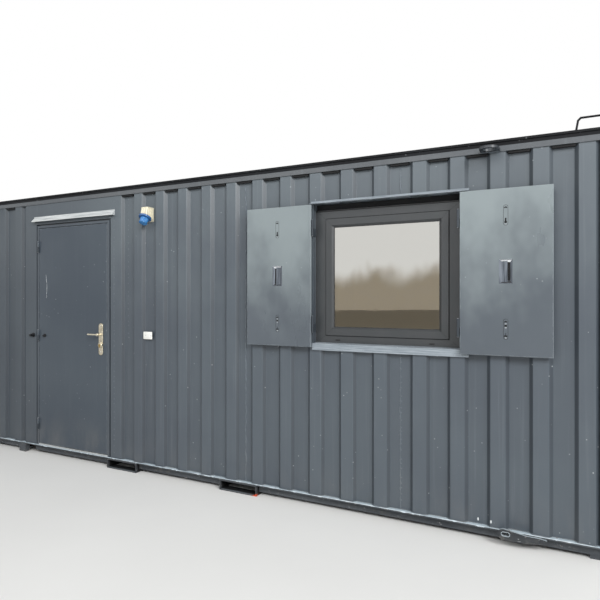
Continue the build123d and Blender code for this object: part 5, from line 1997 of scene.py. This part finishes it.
@dataclass
class ShutterSet(SubAssembly):
    """Cup slopes, painted shade in the finger pocket and bolt slots, bolt ends and hinge caps of one shutter.

    Attributes:
        body: The shutter's body.
        name: Short name of the side.
        fittings_x: Middle of cup and slots along X.
        pin: X and Y of the hinge line.
        face_y: Y of the panel's front face.
        free_side: 1 where the free edge is on the right, -1 where it is on the left.
        cup_z: Height of the cup's middle.
        slot_heights: Heights of the lower and the upper slot's middle.
        pin_heights: Heights of the hinge pins' middles.
        half_pin: Half the length of a pin.
    """

    body: Body
    name: str
    fittings_x: float
    pin: tuple[float, float]
    face_y: float = -1.245
    free_side: float = 1.0
    cup_z: float = 1.6325
    slot_heights: tuple[float, float] = (1.2905, 1.9665)
    pin_heights: tuple[float, float] = (1.2925, 1.9645)
    half_pin: float = 0.056

    def cup(self) -> None:
        """Frame the cup with four sloping faces and paint shade into the finger pocket at its free side.

        Formula: rectangles of 76 x 144 mm at the panel's face and of 48 x 112 mm 9 mm behind it, joined to a
        closed ring by the same two rectangles 1.5 mm further back.
        """
        x, y, z = self.fittings_x, self.face_y, self.cup_z
        rim = (0.0764, 0.1444)
        floor = (0.048, 0.112)
        rows = ((*rim, -0.0004), (*floor, 0.009), (*floor, 0.0105), (*rim, 0.0012))
        loops = [upright_loop((x, y + back, z), width, height, 0.0012, 2) for width, height, back in rows]
        slopes = Skin.loft(np.stack(loops), closed=True)
        self.add(f"{self.name}_cup_slopes", slopes, "shutter_cup", body=self.body, sharp=20.0)
        # Painted shade: a black plate for the shade in the finger pocket
        pocket = plate(0.0145, 0.108, 0.0016, 0.003, 0.0008).turned(FACE_FRONT)
        skin = pocket.at([(x + self.free_side * 0.0165, y + 0.013, z)])
        self.add(f"{self.name}_finger_pocket_shade", skin, "shutter_cup", Extra.SEALANT, self.body)

    def bolts(self) -> None:
        """Paint shade into the groove and holes of each bolt slot with black pieces and set the worn bolt
        ends.

        Formula: rings along the loop of rounded_loop, flat heads for the holes, and for each crescent a round
        bar along (r cos a, r sin a) with r = 6.2 mm and a from 10 to 170 degrees.
        """
        x, y = self.fittings_x, self.face_y
        low, high = self.slot_heights
        loops = [upright_loop((x, y + 0.0006, height), 0.0262, 0.1212, 0.0122, 7) for height in (low, high)]
        rims = [swept(loop, round_section(0.0009, 6), up=ALONG_Y, closed=True) for loop in loops]
        hole = dome(0.0080, 0.0007, 16).turned(FACE_FRONT)
        slit = plate(0.0084, 0.027, 0.0007, 0.002, 0.0002).turned(FACE_FRONT)
        bar = plate(0.0185, 0.0082, 0.0007, 0.003, 0.0002).turned(FACE_FRONT)
        angle = np.radians(np.linspace(10.0, 170.0, 12))
        arc = points_at(0.0062 * np.cos(angle), 0.0, 0.0062 * np.sin(angle))
        crescent = swept(arc, round_section(0.0036), up=ALONG_Y).turned(np.diag([1.0, 0.25, 1.0]))
        # Painted shade: black rings, heads, slit, bar and crescents for the shade in the slots
        dark = rims[0].plus(
            rims[1],
            hole.at([(x, y, high - 0.041), (x, y, low + 0.020)]),
            slit.at([(x, y, high - 0.030)]),
            bar.at([(x, y, low - 0.041)]),
            crescent.at([(x, y - 0.0002, high + 0.041), (x, y - 0.0002, low + 0.039)]),
        )
        self.add(f"{self.name}_slot_shade", dark, "buffer_rubber", Extra.SEALANT, self.body, ROUND_SHARP)
        end = dome(0.0056, 0.0012, 16).turned(FACE_FRONT)
        worn = end.at(points_at(x, y, [high - 0.0535, low - 0.052, low + 0.0315, low + 0.0085]))
        self.add(f"{self.name}_bolt_ends", worn, "shutter_cup", Extra.WORN_EDGE, self.body, ROUND_SHARP)

    def hinge_caps(self) -> None:
        """Close the top and foot of each hinge pin with a low cap."""
        caps = pin_caps(dome(0.006, 0.0024), self.pin, self.pin_heights, self.half_pin)
        self.add(f"{self.name}_hinge_caps", caps, "handle_metal", Extra.BRIGHT_SCREW, sharp=ROUND_SHARP)

    def build(self) -> None:
        """Build all of it."""
        self.cup()
        self.bolts()
        self.hinge_caps()


@dataclass
class Inlet(SubAssembly):
    """The blue socket under the cream housing of the power inlet, and the housing's screws.

    Attributes:
        base: Middle of the flange's back.
        axis: Direction in which the socket points.
    """

    base: Triple = (-0.300, -1.2443, 2.1415)
    axis: Triple = (0.0, -0.479, -0.878)

    def socket(self) -> None:
        """Turn the ribbed socket with its flange and its sprung lid."""
        lay = np.stack((ALONG_X, np.cross(self.axis, ALONG_X), self.axis), axis=-1)
        flat = [(0.0525, 0.0), (0.0525, 0.011), (0.0505, 0.0148), (0.046, 0.016), (0.030, 0.016)]
        flange = lathe(flat, 40).turned(lay).at([self.base])
        ribbed = [
            (0.0328, 0.015, 0.0), (0.0328, 0.019, 0.0010), (0.0318, 0.030, 0.0012),
            (0.0302, 0.046, 0.0012), (0.0292, 0.0545, 0.0010), (0.0292, 0.0565, 0.0),
        ]
        cup = lathe(ribbed, 144, 24)
        cap = [(0.0338, 0.056), (0.0340, 0.0585), (0.0332, 0.0612), (0.030, 0.0626), (0.010, 0.063)]
        lid = lathe(cap, 40)
        piece = self.add("inlet_ribbed_socket", flange, "inlet_blue", sharp=40.0)
        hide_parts("inlet_socket")
        lidded = cup.plus(lid).turned(lay).at([self.base])
        # The cup and lid wear the lit copy of the blue, the flange the shaded one
        self.add("inlet_lidded_cup", lidded, "inlet_blue", Extra.LID_BLUE, sharp=40.0)

    def screws(self) -> None:
        """Set two small screws on the upper part of the housing's face."""
        head = dome(0.0032, 0.0014).turned(FACE_FRONT)
        screws = head.at([(-0.324, -1.256, 2.2135), (-0.276, -1.256, 2.2135)])
        self.add("inlet_housing_screws", screws, "handle_metal", Extra.BRIGHT_SCREW, sharp=ROUND_SHARP)

    def ribs(self) -> None:
        """Lay three rounded upright ribs on the face of the housing and three on its right side.

        Formula: a round bar along a straight line that follows the face's lean of 14 mm in 116 mm.
        """
        t = np.concatenate(([0.0], np.linspace(0.03, 0.97, 8), [1.0]))
        size = np.where((t == 0.0) | (t == 1.0), 0.4, 1.0)
        top = 2.214
        path = points_at(0.0, -1.2550 - 0.0063 * t, top - 0.052 * t)
        rib = swept(path, round_section(0.0068, 10), size, ALONG_Y)
        front = rib.at([(x, 0.0, 0.0) for x in (-0.3225, -0.300, -0.2775)])
        side = swept(points_at(-0.2665, 0.0, top - 0.09 * t), round_section(0.0055, 10), size, ALONG_Y)
        right = side.at([(0.0, y, 0.0) for y in (-1.2010, -1.2190, -1.2370)])
        self.add("inlet_housing_ribs", front.plus(right), "inlet_cream", sharp=ROUND_SHARP)

    def build(self) -> None:
        """Build all of it."""
        self.socket()
        self.screws()
        self.ribs()


@dataclass
class Interior(SubAssembly):
    """Cover strips on the joints of the inner boards and the skirting above the floor.

    Attributes:
        wall_y: Distance of the long walls' boards from the middle of the cabin.
        end_x: Distance of the end walls' boards.
        floor_z: Height of the floor.
        ceiling_z: Height of the ceiling.
        rear_joints: Places along X of the joints of the rear boards and the ceiling.
        front_joints: Places along X of the joints of the front boards.
    """

    wall_y: float = 1.110
    end_x: float = 2.940
    floor_z: float = 0.109
    ceiling_z: float = 2.343
    rear_joints: tuple[float, ...] = (-1.83, -0.61, 0.61, 1.83)
    front_joints: tuple[float, ...] = (-2.44, -0.42, 0.80)

    def strips(self) -> None:
        """Set upright cover strips on the rear and front boards' joints, and strips across the ceiling."""
        tall = self.ceiling_z - self.floor_z
        middle = (self.ceiling_z + self.floor_z) / 2
        upright = plate(0.038, tall, 0.004, 0.002, 0.0015)
        rear = upright.turned(FACE_FRONT).at(points_at(self.rear_joints, self.wall_y, middle))
        front = upright.turned(FACE_REAR).at(points_at(self.front_joints, -self.wall_y, middle))
        across = plate(0.038, 2 * self.wall_y - 0.01, 0.004, 0.002, 0.0015).turned(FACE_DOWN)
        ceiling = across.at(points_at(self.rear_joints, 0.0, self.ceiling_z))
        self.add("inner_cover_strips", rear.plus(front, ceiling), "lining_board")

    def skirting(self) -> None:
        """Run a low rounded skirting along the rear wall and both ends."""
        height = 0.058
        long = plate(2 * self.end_x - 0.02, height, 0.009, 0.002, 0.005).turned(FACE_FRONT)
        short = plate(2 * self.wall_y - 0.02, height, 0.009, 0.002, 0.005)
        level = self.floor_z + height / 2
        rear = long.at([(0.0, self.wall_y, level)])
        right = short.turned(FACE_LEFT).at([(self.end_x, 0.0, level)])
        left = short.turned(FACE_RIGHT).at([(-self.end_x, 0.0, level)])
        self.add("inner_skirting", rear.plus(right, left), "lining_board")

    def build(self) -> None:
        """Build all of it."""
        self.strips()
        self.skirting()


@dataclass
class Studio:
    """The pale floor, the soft lights, the white surround and the camera.

    Attributes:
        camera_place: Where the camera stands.
        yaw: Turn of the camera to the left, in degrees.
        focal: Focal length on a 36 mm sensor.
        shift: Upward shift as a share of the picture.
        daylight: Strength of the surround as it lights the cabin.
        white: Strength of the surround as it is seen.
    """

    camera_place: Triple = (2.920, -4.695, 1.481)
    yaw: float = 27.313
    focal: float = 33.0
    shift: float = -0.005
    daylight: float = 0.42
    white: float = 1.0

    def floor(self) -> None:
        """Lay the floor, a wide disc just under the cabin.

        Formula: rings of radius r = 60 x t squared at angle a, all at height 0, for t from 0 to 1.
        """
        rings = 60.0 * np.linspace(0.02, 1.0, 12) ** 2
        angle = np.arange(48) * 2 * math.pi / 48
        x = rings[:, None] * np.cos(angle)
        y = rings[:, None] * np.sin(angle)
        skin = Skin.loft(points_at(x, y, 0.0))
        mesh = bpy.data.meshes.new("studio_floor")
        mesh.from_pydata(skin.points.tolist(), [], skin.quads.tolist() + [skin.caps[0].tolist()])
        sheet = FinishSheet("studio_floor_pale")
        clouds = sheet.ramp(sheet.noise(sheet.place, 0.4), 0.3, 0.7)
        tone = sheet.blend(clouds, linear((226, 226, 224)), linear((231, 231, 229)))
        mesh.materials.append(sheet.close(tone, 0.8))
        floor = bpy.data.objects.new("studio_floor", mesh)
        bpy.context.scene.collection.objects.link(floor)

    def surround(self) -> None:
        """White all round for the camera, mirrors and glass, and soft daylight for everything else."""
        world = bpy.data.worlds.new("studio_world")
        bpy.context.scene.world = world
        world.use_nodes = True
        tree = world.node_tree
        path = tree.nodes.new("ShaderNodeLightPath")
        seen = path.outputs["Is Camera Ray"]
        for kind in ("Is Glossy Ray", "Is Transmission Ray"):
            either = tree.nodes.new("ShaderNodeMath")
            either.operation = "MAXIMUM"
            tree.links.new(seen, either.inputs[0])
            tree.links.new(path.outputs[kind], either.inputs[1])
            seen = either.outputs[0]
        strength = tree.nodes.new("ShaderNodeMapRange")
        tree.links.new(seen, strength.inputs["Value"])
        strength.inputs["To Min"].default_value = self.daylight
        strength.inputs["To Max"].default_value = self.white
        back = tree.nodes["Background"]
        back.inputs["Color"].default_value = (1.0, 1.0, 1.0, 1.0)
        tree.links.new(strength.outputs["Result"], back.inputs["Strength"])

    def lamp(self, name: str, place: Triple, aim: Triple, size: tuple[float, float], power: float) -> None:
        """Hang one soft lamp.

        Args:
            name: Name of the lamp.
            place: Where it hangs.
            aim: The point that it faces.
            size: Its width and height.
            power: Its power in watts.
        """
        data = bpy.data.lights.new(name, "AREA")
        data.shape = "RECTANGLE"
        data.size = size[0]
        data.size_y = size[1]
        data.energy = power
        lamp = bpy.data.objects.new(name, data)
        lamp.location = place
        direction = np.array(aim) - np.array(place)
        lamp.rotation_euler = Vector(direction).to_track_quat("-Z", "Y").to_euler()
        bpy.context.scene.collection.objects.link(lamp)

    def camera(self) -> None:
        """Set up the camera at the photograph's viewing angle."""
        data = bpy.data.cameras.new("front_camera")
        data.lens = self.focal
        data.sensor_width = 36.0
        data.shift_y = self.shift
        data.clip_end = 300.0
        camera = bpy.data.objects.new("front_camera", data)
        camera.location = self.camera_place
        camera.rotation_euler = (math.pi / 2, 0.0, math.radians(self.yaw))
        bpy.context.scene.collection.objects.link(camera)
        bpy.context.scene.camera = camera

    def build(self) -> None:
        """Set up the whole studio."""
        self.floor()
        self.surround()
        self.lamp("key_lamp", (12.0, -9.0, 8.0), (0.4, 0.0, 1.2), (6.0, 6.0), 1700.0)
        self.lamp("sky_panel", (1.0, -10.0, 7.5), (0.8, 0.0, 1.2), (12.0, 4.0), 560.0)
        self.lamp("rear_lamp", (-3.0, 11.0, 7.0), (0.0, 0.0, 1.2), (8.0, 4.0), 420.0)
        self.camera()
        bpy.context.scene.view_settings.view_transform = "Standard"


def main() -> None:
    """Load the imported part, dress its nodes and build the pieces in order."""
    logging.basicConfig(level=logging.INFO, format="%(name)s: %(message)s")
    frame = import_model()
    finishes = Finishes()
    finishes.dress(frame["nodes"])
    WallSheets(finishes).build()
    RoofTrim(finishes).build()
    BaseTrim(finishes).build()
    LabelPlate(finishes).build()
    DoorSet(finishes).build()
    WindowSet(finishes).build()
    ShutterSet(finishes, Body.LEFT_SHUTTER, "left_shutter", 0.954, (1.231, -1.235), free_side=-1.0).build()
    ShutterSet(finishes, Body.RIGHT_SHUTTER, "right_shutter", 2.508, (2.231, -1.2475), free_side=1.0).build()
    Inlet(finishes).build()
    Interior(finishes).build()
    Studio().build()


if __name__ == "__main__":
    main()
